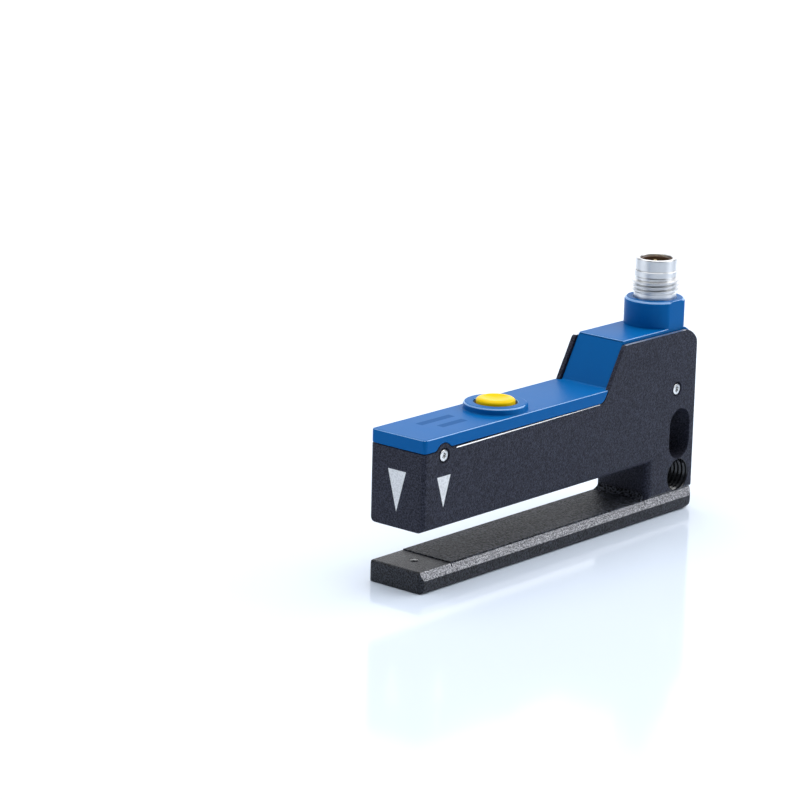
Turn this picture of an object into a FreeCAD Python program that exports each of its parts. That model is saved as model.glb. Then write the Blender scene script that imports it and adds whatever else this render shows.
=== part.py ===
import FreeCAD, Part
import math
import os

# Slim fork sensor with a plug connector, in millimetres.
# It is modelled with X across the fork, Y from the fork's tip to its back and Z up.
# Heights are measured from the underside of the lower leg, stations from the tip of the fork.
# When it is written out, the origin moves to the middle of the footprint.

Vector = FreeCAD.Vector

# Overall sizes
body_width = 11.2
body_length = 70.8
leg_height = 3.55
fork_gap = 6.3
column_depth = 12.8
upper_arm_height = 15.05
side_wall_top = 31.7
cover_stand = 0.6

# Edges and corners
tip_corner_radius = 0.75
back_corner_radius = 0.7
arm_edge_radius = 1.3
back_top_radius = 4.0
riser_lean_deg = 30.0
riser_setback = 24.1
riser_top_round = 0.7
riser_edge_round = 0.3
wall_lead = 0.45
seam = 0.08

# Housing walls and ledges
side_wall = 0.8
front_wall = 0.8
bay_wall = 2.3
board_ledge = 0.6
floor_thickness = 1.2
board_height_above_floor = 5.75
board_thickness = 0.8
gasket_height_above_board = 2.0
gasket_thickness = 0.6
gasket_width = 0.85
bay_front = 1.4
bay_back_wall = 1.2
board_bay_play = 0.3
back_wall_top = 27.0
foot_groove_height = 0.6
foot_groove_depth = 0.5

# Parting line between housing and cover
skirt_height = 2.3
skirt_step = 0.2
skirt_end_radius = 1.8
lug_radius = 1.95
lug_blend = 0.8
lug_drop = 3.15

# Cover
cover_plate = 1.4
cover_rim = 1.2
cover_edge_bevel = 0.25
back_skin = 1.2
boss_radius = 5.1
boss_height = 4.6
boss_bevel = 0.4
boss_flat_bevel = 0.2
boss_setback = 5.5
boss_ledge = 3.1
boss_root = 3.3

# Button and its collar
button_station = 23.7
button_radius = 3.2
button_rise = 0.65
button_edge = 0.55
button_dish_radius = 2.3
button_dish_depth = 0.3
button_travel = 0.5
button_clearance = 0.07
button_cap_depth = 2.8
flange_lip = 0.4
flange_height = 0.8
flange_side_clearance = 0.2
flange_top_clearance = 0.05
stem_radius = 1.0
collar_radius = 5.25
collar_height = 1.15
collar_bevel = 0.3
seal_width = 0.3
seal_depth = 1.3
seal_drop = 0.2

# Switch under the button
switch_size = 4.6
switch_height = 1.7
switch_corner = 0.4
plunger_radius = 0.9
plunger_clearance = 0.05
plunger_rise = 0.8

# Lower leg
leg_side_height = 2.15
leg_bevel = 0.55
leg_edge_radius = 0.7
leg_tip_radius = 1.0
leg_heel_radius = 2.2
leg_toe_radius = 0.3
leg_nose_radius = 0.5
plate_station = 7.6
plate_thickness = 0.7
plate_stand = 0.15
plate_inset = 0.1
plate_upstand = 1.1
plate_upstand_thickness = 0.1
plate_gap = 0.1
channel_width = 4.8
channel_floor = 1.25
channel_front = 2.2
tip_roof = 0.95
emitter_board_length = 7.2
channel_play = 0.1

# Light path
beam_station = 4.7
lens_radius = 0.75
lens_lip = 0.45
lens_lip_height = 0.35
lens_dome = 0.1
lens_clearance = 0.05
receiver_lip_height = 0.6
receiver_recess = 0.05
holder_length = 6.6
holder_height = 2.35
holder_play = 0.1
holder_bore = 1.0
diode_size = 2.0
diode_height = 0.8
diode_bevel = 0.2
small_board_thickness = 0.6
emitter_size = 1.6
link_pitch = 1.0
link_pins = 4
link_pin_size = 0.4
link_block_height = 1.0
link_block_depth = 1.1
link_station = 7.0

# Column and its fixings
fixing_setback = 4.4
slot_width = 5.5
slot_length = 8.7
slot_height = 13.8
tapped_radius = 2.46
tapped_mouth_radius = 2.85
tapped_height = 6.45
lead_shaft_inset = 1.95
lead_shaft_depth = 1.5
lead_width = 3.8
lead_thickness = 0.2
lead_bend = 1.0
lead_landing = 3.0
lead_start_overlap = 1.0
foot_screw_inset = 4.0
foot_screw_offset = 2.9
foot_screw_radius = 0.8
foot_screw_head_radius = 1.5
foot_screw_length = 8.0
foot_screw_recess = 0.1
foot_screw_head_height = 1.0
foot_screw_clearance = 0.05

# Cover screws
screw_head_radius = 0.95
screw_head_height = 0.4
screw_shank_radius = 0.5
screw_length = 3.0
screw_pocket_radius = 1.25
screw_pocket_depth = 0.45
screw_hole_clearance = 0.1
screw_block_half = 1.5
screw_block_depth = 2.5
back_screw_setback = 5.65

# Plug connector
shell_neck_radius = 3.6
shell_neck_clearance = 0.05
shell_neck_height = 1.0
shell_stem_radius = 2.95
thread_radius = 4.0
thread_length = 2.7
guide_radius = 3.55
guide_length = 0.9
groove_width = 0.15
groove_depth = 0.2
mouth_radius = 3.45
mouth_length = 1.95
socket_radius = 2.75
socket_depth = 6.4
core_radius = 2.2
ring_groove_radius = 3.0
ring_groove_width = 1.0
ring_groove_offset = 0.7
ring_clearance = 0.01
nut_radius = 3.35
nut_height = 1.9
nut_room_clearance = 0.05
nut_notch_width = 1.2
nut_notch_depth = 0.7
stem_overrun = 0.6
liner_wall = 0.3
liner_drop = 0.4
insert_flange = 0.8
pin_radius = 0.4
pin_tip_radius = 0.2
pin_count = 4
pin_start_deg = 45.0
pin_circle_radius = 1.4
pin_drop = 0.7
connector_board_gap = 0.4
connector_board_thickness = 0.8
connector_board_reach = 3.7
connector_board_play = 0.2
connector_lead_step = 0.25
lead_stack_gap = 0.02
board_front = 1.6
board_end_play = 0.2
board_play = 0.05
chip_size = 5.0
chip_height = 0.9
chip_bevel = 0.18
chip_offset = 14.3

# How far a cutting shape runs past the face that it opens, and how near a place counts as the same
overrun = 1.0
far = 200.0
same_place = 0.01
hairline = 1e-6

# Sizes that follow from the ones above
half_width = body_width / 2
fork_depth = body_length - column_depth
riser_foot = body_length - riser_setback
boss_station = body_length - boss_setback
fixing_station = body_length - fixing_setback
back_screw_station = body_length - back_screw_setback
lead_shaft_station = fork_depth + lead_shaft_inset
foot_screw_station = fork_depth + foot_screw_inset
connector_board_front = boss_station - connector_board_reach
connector_lead_station = lead_shaft_station + connector_lead_step
chip_station = button_station + chip_offset
arm_bottom = leg_height + fork_gap
arm_top = arm_bottom + upper_arm_height
cover_top = side_wall_top + cover_stand
lean = math.tan(math.radians(riser_lean_deg))
split_front = arm_top - skirt_height
split_back = split_front + skirt_step
lug_height = arm_top - lug_drop
insert_half = half_width - side_wall - seam
well_half = half_width - side_wall
bay_half = half_width - bay_wall
board_bay_half = bay_half + board_ledge
bay_floor = arm_bottom + floor_thickness
board_seat = bay_floor + board_height_above_floor
board_top = board_seat + board_thickness
gasket_seat = board_top + gasket_height_above_board
rim_bottom = gasket_seat + gasket_thickness
well_back = body_length - side_wall
rim_front = front_wall + seam
rim_back = well_back - seam
hollow_back = rim_back - cover_rim
boss_top = cover_top + boss_height
boss_underside = cover_top - back_skin
neck_bottom = boss_underside + boss_ledge
plunger_top = board_top + switch_height + plunger_rise
plunger_bottom = board_top + button_travel + 2 * plunger_clearance
collar_top = arm_top + collar_height
button_top = collar_top + button_rise
button_cap_bottom = button_top - button_cap_depth
flange_bottom = button_cap_bottom - flange_height
guide_bore = button_radius + button_clearance
seal_pocket_radius = guide_bore + seal_width
seal_floor = collar_top - seal_depth
flange_ceiling = button_cap_bottom + flange_top_clearance
flange_radius = button_radius + flange_lip
flange_pocket_radius = flange_radius + flange_side_clearance
flange_pocket_bottom = flange_bottom - button_travel - flange_side_clearance
leg_top_half = half_width - leg_bevel
plate_seat = leg_height + plate_stand - plate_thickness
plate_back = fork_depth - plate_gap
channel_half = channel_width / 2
emitter_board_top = channel_floor + board_thickness
lead_floor = emitter_board_top
lead_shaft_front = lead_shaft_station - lead_shaft_depth / 2
lead_shaft_back = lead_shaft_station + lead_shaft_depth / 2
board_bay_back = lead_shaft_back + board_bay_play
board_back = board_bay_back - board_end_play
emitter_ceiling = leg_height - tip_roof
thread_bottom = boss_top + shell_neck_height
thread_top = thread_bottom + thread_length
guide_top = thread_top + guide_length
mouth_bottom = guide_top + groove_width
shell_top = mouth_bottom + mouth_length
socket_floor = shell_top - socket_depth
nut_bottom = boss_underside - nut_height
stem_bottom = nut_bottom - stem_overrun
connector_board_top = stem_bottom - connector_board_gap


def box(x0, x1, y0, y1, z0, z1):
    return Part.makeBox(x1 - x0, y1 - y0, z1 - z0, Vector(x0, y0, z0))


def bar(half, y0, y1, z0, z1):
    """A block centred across the sensor."""
    return box(-half, half, y0, y1, z0, z1)


def upright(radius, station, z0, z1, x=0.0):
    """A standing cylinder."""
    return Part.makeCylinder(radius, z1 - z0, Vector(x, station, z0), Vector(0, 0, 1))


def crosswise(radius, x0, x1, station, height):
    """A cylinder that lies across the sensor."""
    return Part.makeCylinder(radius, x1 - x0, Vector(x0, station, height), Vector(1, 0, 0))


def rounded_wire(corners, place):
    """A closed outline from (a, b, radius) corners; place turns (a, b) into a point in space."""
    edges = []
    ends = []
    count = len(corners)
    for i in range(count):
        a0, b0, _ = corners[i - 1]
        a1, b1, radius = corners[i]
        a2, b2, _ = corners[(i + 1) % count]
        here = Vector(a1, b1, 0)
        back = (Vector(a0, b0, 0) - here).normalize()
        ahead = (Vector(a2, b2, 0) - here).normalize()
        if radius <= 0:
            ends.append((here, here, None))
            continue
        half_angle = back.getAngle(ahead) / 2
        reach = radius / math.tan(half_angle)
        middle = (back + ahead).normalize()
        crown = here + middle * (radius / math.sin(half_angle) - radius)
        ends.append((here + back * reach, here + ahead * reach, crown))
    for i in range(count):
        start, stop, crown = ends[i]
        if crown is not None:
            points = [place(p.x, p.y) for p in (start, crown, stop)]
            edges.append(Part.Arc(*points).toShape())
        following = ends[(i + 1) % count][0]
        if stop.distanceToPoint(following) > hairline:
            edges.append(Part.LineSegment(place(stop.x, stop.y), place(following.x, following.y)).toShape())
    return Part.Wire(edges)


def side_slab(corners, half):
    """A side view, (station, height, radius) corners, given its width across the sensor."""
    face = Part.Face(rounded_wire(corners, lambda a, b: Vector(-half, a, b)))
    return face.extrude(Vector(2 * half, 0, 0))


def plan_slab(corners, z0, z1):
    """A view from above, (x, station, radius) corners, given its height."""
    face = Part.Face(rounded_wire(corners, lambda a, b: Vector(a, b, z0)))
    return face.extrude(Vector(0, 0, z1 - z0))


def section_slab(corners, y0, y1):
    """A cross-section, (x, height, radius) corners, given its length."""
    face = Part.Face(rounded_wire(corners, lambda a, b: Vector(a, y0, b)))
    return face.extrude(Vector(0, y1 - y0, 0))


def plan_rectangle(half, y0, y1, front_radius, back_radius):
    """Corners of a rectangle seen from above, with its own rounding at each end."""
    return [
        (-half, y0, front_radius),
        (half, y0, front_radius),
        (half, y1, back_radius),
        (-half, y1, back_radius),
    ]


def turned(profile, station, x=0.0):
    """A body of revolution about an upright axis, from a closed (radius, height, round) outline."""
    face = Part.Face(rounded_wire(profile, lambda a, b: Vector(x + a, station, b)))
    return face.revolve(Vector(x, station, 0), Vector(0, 0, 1), 360)


def fused(first, *others):
    return first.fuse(list(others)).removeSplitter()


def parting_body(grow):
    """All that lies below the parting line between housing and cover, enlarged by grow on every side."""
    foot = riser_foot - wall_lead
    shift = grow / math.cos(math.radians(riser_lean_deg))
    low = split_back + grow
    top = side_wall_top + grow
    low_corner = foot - (arm_top - low) * lean - shift
    top_corner = foot + (top - arm_top) * lean - shift
    corners = [
        (-far, 0, 0),
        (body_length + far, 0, 0),
        (body_length + far, top, 0),
        (top_corner, top, riser_top_round + grow),
        (low_corner, low, skirt_end_radius - grow),
        (beam_station, low, 0),
        (beam_station, split_front + grow, 0),
        (-far, split_front + grow, 0),
    ]
    slab = side_slab(corners, far)
    lug = crosswise(lug_radius + grow, -far, far, beam_station, lug_height)
    joined = fused(slab, lug)
    front_rise = split_front + grow - lug_height
    back_rise = low - lug_height
    reach = lug_radius + grow
    roots = [
        (beam_station - math.sqrt(reach ** 2 - front_rise ** 2), split_front + grow),
        (beam_station + math.sqrt(reach ** 2 - back_rise ** 2), low),
    ]
    creases = []
    for edge in joined.Edges:
        centre = edge.BoundBox.Center
        for station, height in roots:
            if abs(centre.y - station) < same_place and abs(centre.z - height) < same_place:
                creases.append(edge)
    return joined.makeFillet(lug_blend - grow, creases)


def housing_blank():
    """The outside of the housing: an arm with rounded lower edges, joined to the column."""
    arm = section_slab([
        (-half_width, arm_bottom, arm_edge_radius),
        (half_width, arm_bottom, arm_edge_radius),
        (half_width, cover_top, 0),
        (-half_width, cover_top, 0),
    ], 0, fork_depth + arm_edge_radius)
    arm = arm.common(plan_slab(
        plan_rectangle(half_width, 0, body_length, tip_corner_radius, back_corner_radius), 0, cover_top))
    column = plan_slab(
        plan_rectangle(half_width, fork_depth, body_length, arm_edge_radius, back_corner_radius),
        leg_height, cover_top)
    shoulder = plan_slab(
        plan_rectangle(half_width, fork_depth - column_depth, body_length, 0, back_corner_radius),
        arm_bottom + arm_edge_radius, cover_top)
    foot = section_slab([
        (-half_width + foot_groove_depth, leg_height, 0),
        (half_width - foot_groove_depth, leg_height, 0),
        (half_width, leg_height + foot_groove_height, 0),
        (half_width, cover_top, 0),
        (-half_width, cover_top, 0),
        (-half_width, leg_height + foot_groove_height, 0),
    ], 0, body_length)
    side = side_slab([
        (0, leg_height, 0),
        (body_length - foot_groove_depth, leg_height, 0),
        (body_length, leg_height + foot_groove_height, 0),
        (body_length, side_wall_top, back_top_radius),
        (0, side_wall_top, 0),
    ], half_width)
    blank = fused(arm, column, shoulder)
    return blank.common(foot).common(side).common(parting_body(0))


def fixing_cuts():
    """The upright slot and the tapped hole through the column, with the tapped hole's mouths."""
    straight = (slot_length - slot_width) / 2
    slot = bar(far, fixing_station - slot_width / 2, fixing_station + slot_width / 2,
               slot_height - straight, slot_height + straight)
    upper = crosswise(slot_width / 2, -far, far, fixing_station, slot_height + straight)
    lower = crosswise(slot_width / 2, -far, far, fixing_station, slot_height - straight)
    hole = crosswise(tapped_radius, -far, far, fixing_station, tapped_height)
    mouth_depth = tapped_mouth_radius - tapped_radius
    mouths = []
    for side in (-1, 1):
        face = Vector(side * half_width, fixing_station, tapped_height)
        mouths.append(Part.makeCone(tapped_mouth_radius, tapped_radius, mouth_depth, face, Vector(-side, 0, 0)))
    return fused(slot, upper, lower, hole, *mouths)


def cover_screw_cuts(station):
    """Pocket for the screw head and the way through the right-hand wall."""
    seat = half_width - screw_pocket_depth
    pocket = crosswise(screw_pocket_radius, seat, half_width + overrun, station, lug_height)
    way_radius = screw_shank_radius + screw_hole_clearance
    way = crosswise(way_radius, well_half - overrun, half_width, station, lug_height)
    return pocket.fuse(way)


def make_fork_housing():
    body = housing_blank()
    sensor_bay = bar(bay_half, bay_front, fork_depth - bay_back_wall, bay_floor, board_top)
    board_bay = bar(board_bay_half, bay_front, board_bay_back, board_seat, gasket_seat + overrun)
    well = bar(well_half, front_wall, well_back, gasket_seat, back_wall_top)
    open_top = bar(well_half, front_wall, body_length + overrun, back_wall_top, cover_top + overrun)
    lead_shaft = bar(channel_half, lead_shaft_front, lead_shaft_back, 0, board_seat + overrun)
    lens_way = upright(lens_radius + lens_clearance, beam_station, arm_bottom - overrun, bay_floor)
    lens_seat = upright(lens_radius + lens_lip + lens_clearance, beam_station,
                        bay_floor - receiver_lip_height, bay_floor)
    cuts = [board_bay, well, open_top, lead_shaft, lens_way, lens_seat, fixing_cuts()]
    cuts += [cover_screw_cuts(beam_station), cover_screw_cuts(back_screw_station)]
    for x in (-foot_screw_offset, foot_screw_offset):
        cuts.append(upright(foot_screw_radius, foot_screw_station, 0, foot_screw_length, x))
    return body.cut([sensor_bay] + cuts).removeSplitter()


def make_lower_arm():
    """The lower leg, with bevelled upper edges, a recess for its plate and a channel for the lead."""
    section = section_slab([
        (-half_width, 0, leg_edge_radius),
        (half_width, 0, leg_edge_radius),
        (half_width, leg_side_height, 0),
        (leg_top_half, leg_height, 0),
        (-leg_top_half, leg_height, 0),
        (-half_width, leg_side_height, 0),
    ], 0, body_length)
    outline = plan_rectangle(half_width, 0, body_length, leg_tip_radius, back_corner_radius)
    plan = plan_slab(outline, 0, leg_height)
    side = side_slab([
        (0, 0, leg_toe_radius),
        (body_length, 0, leg_heel_radius),
        (body_length, leg_height, 0),
        (0, leg_height, leg_nose_radius),
    ], half_width)
    leg = section.common(plan).common(side)
    plate_recess = bar(far, plate_station, plate_back, plate_seat, leg_height + overrun)
    board_pocket = bar(channel_half, channel_front, channel_front + emitter_board_length + 2 * channel_play,
                       channel_floor, emitter_ceiling)
    channel = bar(channel_half, plate_station, lead_shaft_back, lead_floor, leg_height + overrun)
    lens_way = upright(lens_radius + lens_clearance, beam_station, emitter_ceiling, leg_height + overrun)
    lens_seat = upright(lens_radius + lens_lip + lens_clearance, beam_station,
                        emitter_ceiling, emitter_ceiling + lens_lip_height)
    cuts = [plate_recess, board_pocket, channel, lens_way, lens_seat]
    head = foot_screw_head_radius + foot_screw_clearance
    shank = foot_screw_radius + foot_screw_clearance
    for x in (-foot_screw_offset, foot_screw_offset):
        cuts.append(upright(shank, foot_screw_station, 0, leg_height, x))
        cuts.append(upright(head, foot_screw_station, 0, foot_screw_recess + foot_screw_head_height, x))
    return leg.cut(cuts).removeSplitter()


def bevel_half(height):
    """Half the width of the lower leg's bevelled upper part at a height."""
    slope = leg_bevel / (leg_height - leg_side_height)
    return leg_top_half + (leg_height - height) * slope


def make_arm_cover_plate():
    """The plate over the lead: its sides carry on the leg's bevel, and its back curves up the column."""
    top = plate_seat + plate_thickness
    crest = top + plate_upstand
    section = section_slab([
        (-bevel_half(plate_seat), plate_seat, 0),
        (bevel_half(plate_seat), plate_seat, 0),
        (bevel_half(crest), crest, 0),
        (-bevel_half(crest), crest, 0),
    ], plate_station, plate_back)
    plate = side_slab([
        (plate_station + plate_inset, plate_seat, 0),
        (plate_back - plate_inset, plate_seat, 0),
        (plate_back - plate_inset, crest, 0),
        (plate_back - plate_inset - plate_upstand_thickness, crest, 0),
        (plate_back - plate_inset - plate_upstand_thickness, top, plate_upstand),
        (plate_station + plate_inset, top, 0),
    ], half_width)
    return plate.common(section)


def make_emitter_lens():
    """A lipped lens with a low dome that stands just above the tip of the lower leg."""
    lip = lens_radius + lens_lip
    crown = leg_height + lens_dome
    body = turned([
        (0, emitter_ceiling, 0),
        (lip, emitter_ceiling, 0),
        (lip, emitter_ceiling + lens_lip_height, 0),
        (lens_radius, emitter_ceiling + lens_lip_height, 0),
        (lens_radius, crown, 0),
        (0, crown, 0),
    ], beam_station)
    dome_radius = (lens_radius ** 2 + lens_dome ** 2) / (2 * lens_dome)
    dome = Part.makeSphere(dome_radius, Vector(0, beam_station, crown - dome_radius))
    return body.common(dome.fuse(upright(lip, beam_station, emitter_ceiling, leg_height)))


def make_receiver_lens():
    lip = lens_radius + lens_lip
    return turned([
        (0, arm_bottom + receiver_recess, 0),
        (lens_radius, arm_bottom + receiver_recess, 0),
        (lens_radius, bay_floor - receiver_lip_height, 0),
        (lip, bay_floor - receiver_lip_height, 0),
        (lip, bay_floor, 0),
        (0, bay_floor, 0),
    ], beam_station)


def make_receiver_holder():
    """A block on the arm's floor with an aperture over the lens and a pocket for the receiver."""
    top = bay_floor + holder_height
    front = bay_front + holder_play
    block = bar(bay_half - holder_play, front, front + holder_length, bay_floor, top)
    aperture = upright(holder_bore, beam_station, bay_floor, top)
    pocket_half = diode_size / 2 + holder_play
    pocket = bar(pocket_half, beam_station - pocket_half, beam_station + pocket_half, top - diode_height, top)
    return block.cut([aperture, pocket])


def make_receiver_diode():
    """A square receiver that looks down through the holder's aperture."""
    top = bay_floor + holder_height
    low = top - diode_height
    half = diode_size / 2
    chip = bar(half, beam_station - half, beam_station + half, low, top)
    rim = [e for e in chip.Edges if abs(e.BoundBox.Center.z - low) < same_place]
    return chip.makeChamfer(diode_bevel, rim)


def make_receiver_board():
    base = bay_floor + holder_height
    front = bay_front + holder_play
    board = bar(bay_half - holder_play, front, front + holder_length, base, base + small_board_thickness)
    uprights = [e for e in board.Edges if e.Length < small_board_thickness + same_place]
    return board.makeChamfer(holder_play, uprights)


def make_board_link():
    """A row of square pins in a moulded strip, from the receiver board up to the main board."""
    base = bay_floor + holder_height + small_board_thickness
    width = link_pitch * link_pins
    strip = bar(width / 2, link_station - link_block_depth / 2, link_station + link_block_depth / 2,
                base, base + link_block_height)
    pins = []
    for i in range(link_pins):
        x = (i - (link_pins - 1) / 2) * link_pitch
        half = link_pin_size / 2
        pins.append(box(x - half, x + half, link_station - half, link_station + half, base, board_seat))
    return fused(strip, *pins)


def make_emitter_board():
    front = channel_front + channel_play
    half = channel_half - channel_play
    board = bar(half, front, front + emitter_board_length, channel_floor, emitter_board_top)
    uprights = [e for e in board.Edges if abs(e.Length - board_thickness) < same_place]
    return board.makeChamfer(channel_play, uprights)


def make_emitter_diode():
    half = emitter_size / 2
    top = emitter_ceiling - lens_clearance
    chip = bar(half, beam_station - half, beam_station + half, emitter_board_top, top)
    rim = [e for e in chip.Edges if abs(e.BoundBox.Center.z - top) < same_place]
    return chip.makeChamfer(lens_clearance, rim)


def flat_lead(corners, half):
    """A flat lead of constant thickness along (station, height, radius) bends."""
    thick = lead_thickness / 2
    path = []
    for a, b, radius in corners:
        path.append((Vector(0, a, b), radius))
    sides = {1: [], -1: []}
    for sign in (1, -1):
        for i, (point, radius) in enumerate(path):
            back = point - path[i - 1][0] if i > 0 else path[1][0] - point
            ahead = path[i + 1][0] - point if i + 1 < len(path) else back
            back.normalize()
            ahead.normalize()
            normal_back = Vector(0, -back.z, back.y)
            normal_ahead = Vector(0, -ahead.z, ahead.y)
            middle = (normal_back + normal_ahead).normalize()
            offset = thick / middle.dot(normal_back)
            moved = point + middle * (sign * offset)
            turn = back.y * ahead.z - back.z * ahead.y
            bend = radius - sign * thick * (1 if turn > 0 else -1) if radius > 0 else 0
            sides[sign].append((moved.y, moved.z, bend))
    return side_slab(sides[1] + list(reversed(sides[-1])), half)


def make_flex_lead():
    """From the emitter board along the lower leg, up the column and onto the main board."""
    low = emitter_board_top + lead_thickness / 2
    high = board_top + lead_thickness / 2
    return flat_lead([
        (channel_front + emitter_board_length - lead_start_overlap, low, 0),
        (lead_shaft_station, low, lead_bend),
        (lead_shaft_station, high, lead_bend),
        (lead_shaft_station - lead_landing, high, 0),
    ], lead_width / 2)


def make_main_board():
    """The long board on the arm's ledge, open at its back for the lead."""
    half = board_bay_half - board_play
    corner = link_pin_size
    board = plan_slab(plan_rectangle(half, board_front, board_back, corner, corner), board_seat, board_top)
    shaft = bar(channel_half, lead_shaft_station - lead_bend, far, board_seat, board_top)
    return board.cut(shaft)


def make_controller_chip():
    half = chip_size / 2
    chip = bar(half, chip_station - half, chip_station + half, board_top, board_top + chip_height)
    rim = [e for e in chip.Edges if abs(e.BoundBox.Center.z - board_top - chip_height) < same_place]
    return chip.makeChamfer(chip_bevel, rim)


def make_teach_switch():
    """The switch's case, with a well for its plunger."""
    half = switch_size / 2
    outline = plan_rectangle(half, button_station - half, button_station + half, switch_corner, switch_corner)
    case = plan_slab(outline, board_top, board_top + switch_height)
    well = upright(plunger_radius + plunger_clearance, button_station,
                   plunger_bottom - button_travel - plunger_clearance, board_top + switch_height)
    return case.cut(well)


def make_switch_plunger():
    return turned([
        (0, plunger_bottom, 0),
        (plunger_radius, plunger_bottom, 0),
        (plunger_radius, plunger_top, 0),
        (0, plunger_top, 0),
    ], button_station)


def make_teach_button():
    """A dished cap with a round edge, a flange that keeps it in the cover and a stem on the switch."""
    body = turned([
        (0, plunger_top, 0),
        (stem_radius, plunger_top, 0),
        (stem_radius, flange_bottom, 0),
        (flange_radius, flange_bottom, 0),
        (flange_radius, button_cap_bottom, 0),
        (button_radius, button_cap_bottom, 0),
        (button_radius, button_top, button_edge),
        (0, button_top, 0),
    ], button_station)
    dish_radius = (button_dish_radius ** 2 + button_dish_depth ** 2) / (2 * button_dish_depth)
    dish = Part.makeSphere(dish_radius, Vector(0, button_station, button_top - button_dish_depth + dish_radius))
    return body.cut(dish)


def make_button_seal():
    """A black ring round the button, let into the collar a little below its top."""
    top = collar_top - seal_drop
    return turned([
        (guide_bore, seal_floor, 0),
        (seal_pocket_radius, seal_floor, 0),
        (seal_pocket_radius, top, 0),
        (guide_bore, top, 0),
    ], button_station)


def make_cover_gasket():
    """A flat seal all round, between the housing's ledge and the cover's rim."""
    outer_half = well_half - board_play
    inner_half = outer_half - gasket_width
    front = front_wall + board_play
    back = well_back - board_play
    outer = bar(outer_half, front, back, gasket_seat, rim_bottom)
    inner = bar(inner_half, front + gasket_width, back - gasket_width, gasket_seat, rim_bottom)
    return outer.cut(inner)


def cover_side(inset):
    """Side view of the part of the cover between the walls; inset is the skin's thickness."""
    foot = riser_foot + inset / math.cos(math.radians(riser_lean_deg)) - inset * lean
    top = cover_top - inset
    top_corner = foot + (top - (arm_top - inset)) * lean
    back = body_length - inset
    return [
        (foot, arm_top - inset),
        (top_corner, top),
        (back, top),
    ]


def cover_insert():
    """The rim inside the housing, the leaning riser and the raised back between the walls."""
    riser, crest, back_top = cover_side(0)
    step = back_wall_top + seam
    corners = [
        (rim_front, rim_bottom, 0),
        (rim_back, rim_bottom, 0),
        (rim_back, step, 0),
        (body_length, step, 0),
        (back_top[0], back_top[1], back_top_radius + cover_stand),
        (crest[0], crest[1], riser_edge_round),
        (riser[0], riser[1], riser_edge_round),
        (rim_front, arm_top, 0),
    ]
    slab = side_slab(corners, insert_half)
    section = section_slab([
        (-insert_half, 0, 0),
        (insert_half, 0, 0),
        (insert_half, cover_top, cover_edge_bevel),
        (-insert_half, cover_top, cover_edge_bevel),
    ], 0, body_length)
    return slab.common(section)


def cover_cap():
    """The full-width plate and skirt over the arm, as far as the housing's leaning walls."""
    section = section_slab([
        (-half_width, split_front - overrun, 0),
        (half_width, split_front - overrun, 0),
        (half_width, arm_top, cover_edge_bevel),
        (-half_width, arm_top, cover_edge_bevel),
    ], 0, riser_foot)
    plan = plan_slab(plan_rectangle(half_width, 0, riser_foot + overrun, tip_corner_radius, 0), 0, arm_top)
    side = side_slab([
        (0, 0, 0),
        (riser_foot, 0, 0),
        (riser_foot, arm_top, 0),
        (0, arm_top, cover_edge_bevel),
    ], half_width)
    return section.common(plan).common(side).cut(parting_body(seam))


def connector_boss():
    """A round boss with a flat on each side, flush with the sides of the raised back."""
    drum = turned([
        (0, cover_top - boss_root, 0),
        (boss_radius, cover_top - boss_root, 0),
        (boss_radius, boss_top - boss_bevel, 0),
        (boss_radius - boss_bevel, boss_top, 0),
        (0, boss_top, 0),
    ], boss_station)
    flats = section_slab([
        (-insert_half, 0, 0),
        (insert_half, 0, 0),
        (insert_half, boss_top, boss_flat_bevel),
        (-insert_half, boss_top, boss_flat_bevel),
    ], 0, body_length)
    return drum.common(flats)


def cover_hollow():
    """The room inside the rim, under the plate, the riser and the raised back."""
    riser, crest, _ = cover_side(back_skin)
    drop = cover_plate - back_skin
    inner = rim_front + cover_rim
    return side_slab([
        (inner, rim_bottom - overrun, 0),
        (hollow_back, rim_bottom - overrun, 0),
        (hollow_back, boss_underside, 0),
        (crest[0], crest[1], 0),
        (riser[0] - drop * lean, riser[1] - drop, 0),
        (inner, riser[1] - drop, 0),
    ], insert_half - cover_rim)


def screw_block(station):
    """A block inside the cover's right-hand rim that takes a cover screw."""
    x1 = insert_half
    x0 = x1 - screw_block_depth
    front = max(station - screw_block_half, rim_front)
    return box(x0, x1, front, station + screw_block_half, rim_bottom, lug_height + screw_block_half)


def make_top_cover():
    collar = turned([
        (0, arm_top - cover_plate, 0),
        (collar_radius, arm_top - cover_plate, 0),
        (collar_radius, collar_top - collar_bevel, 0),
        (collar_radius - collar_bevel, collar_top, 0),
        (0, collar_top, 0),
    ], button_station)
    collar_root = bar(insert_half, button_station - collar_radius, button_station + collar_radius,
                      arm_top - cover_plate, collar_top)
    collar = collar.common(fused(collar_root, bar(half_width, 0, far, arm_top - cover_edge_bevel, collar_top)))
    body = fused(cover_cap(), cover_insert(), connector_boss())
    body = body.cut(cover_hollow())
    blocks = [screw_block(beam_station), screw_block(back_screw_station)]
    body = fused(body, collar, *blocks)
    cuts = [
        upright(seal_pocket_radius, button_station, seal_floor, collar_top + overrun),
        upright(guide_bore, button_station, flange_ceiling, seal_floor + overrun),
        upright(flange_pocket_radius, button_station, flange_pocket_bottom, flange_ceiling),
        upright(shell_neck_radius + shell_neck_clearance, boss_station, neck_bottom, boss_top + overrun),
        upright(shell_stem_radius + shell_neck_clearance, boss_station, boss_underside - overrun, neck_bottom),
        upright(nut_radius + nut_room_clearance, boss_station, nut_bottom - overrun, boss_underside),
    ]
    for station in (beam_station, back_screw_station):
        end = half_width - screw_pocket_depth - screw_length
        cuts.append(crosswise(screw_shank_radius, end, half_width, station, lug_height))
    return body.cut(cuts).removeSplitter()


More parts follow.
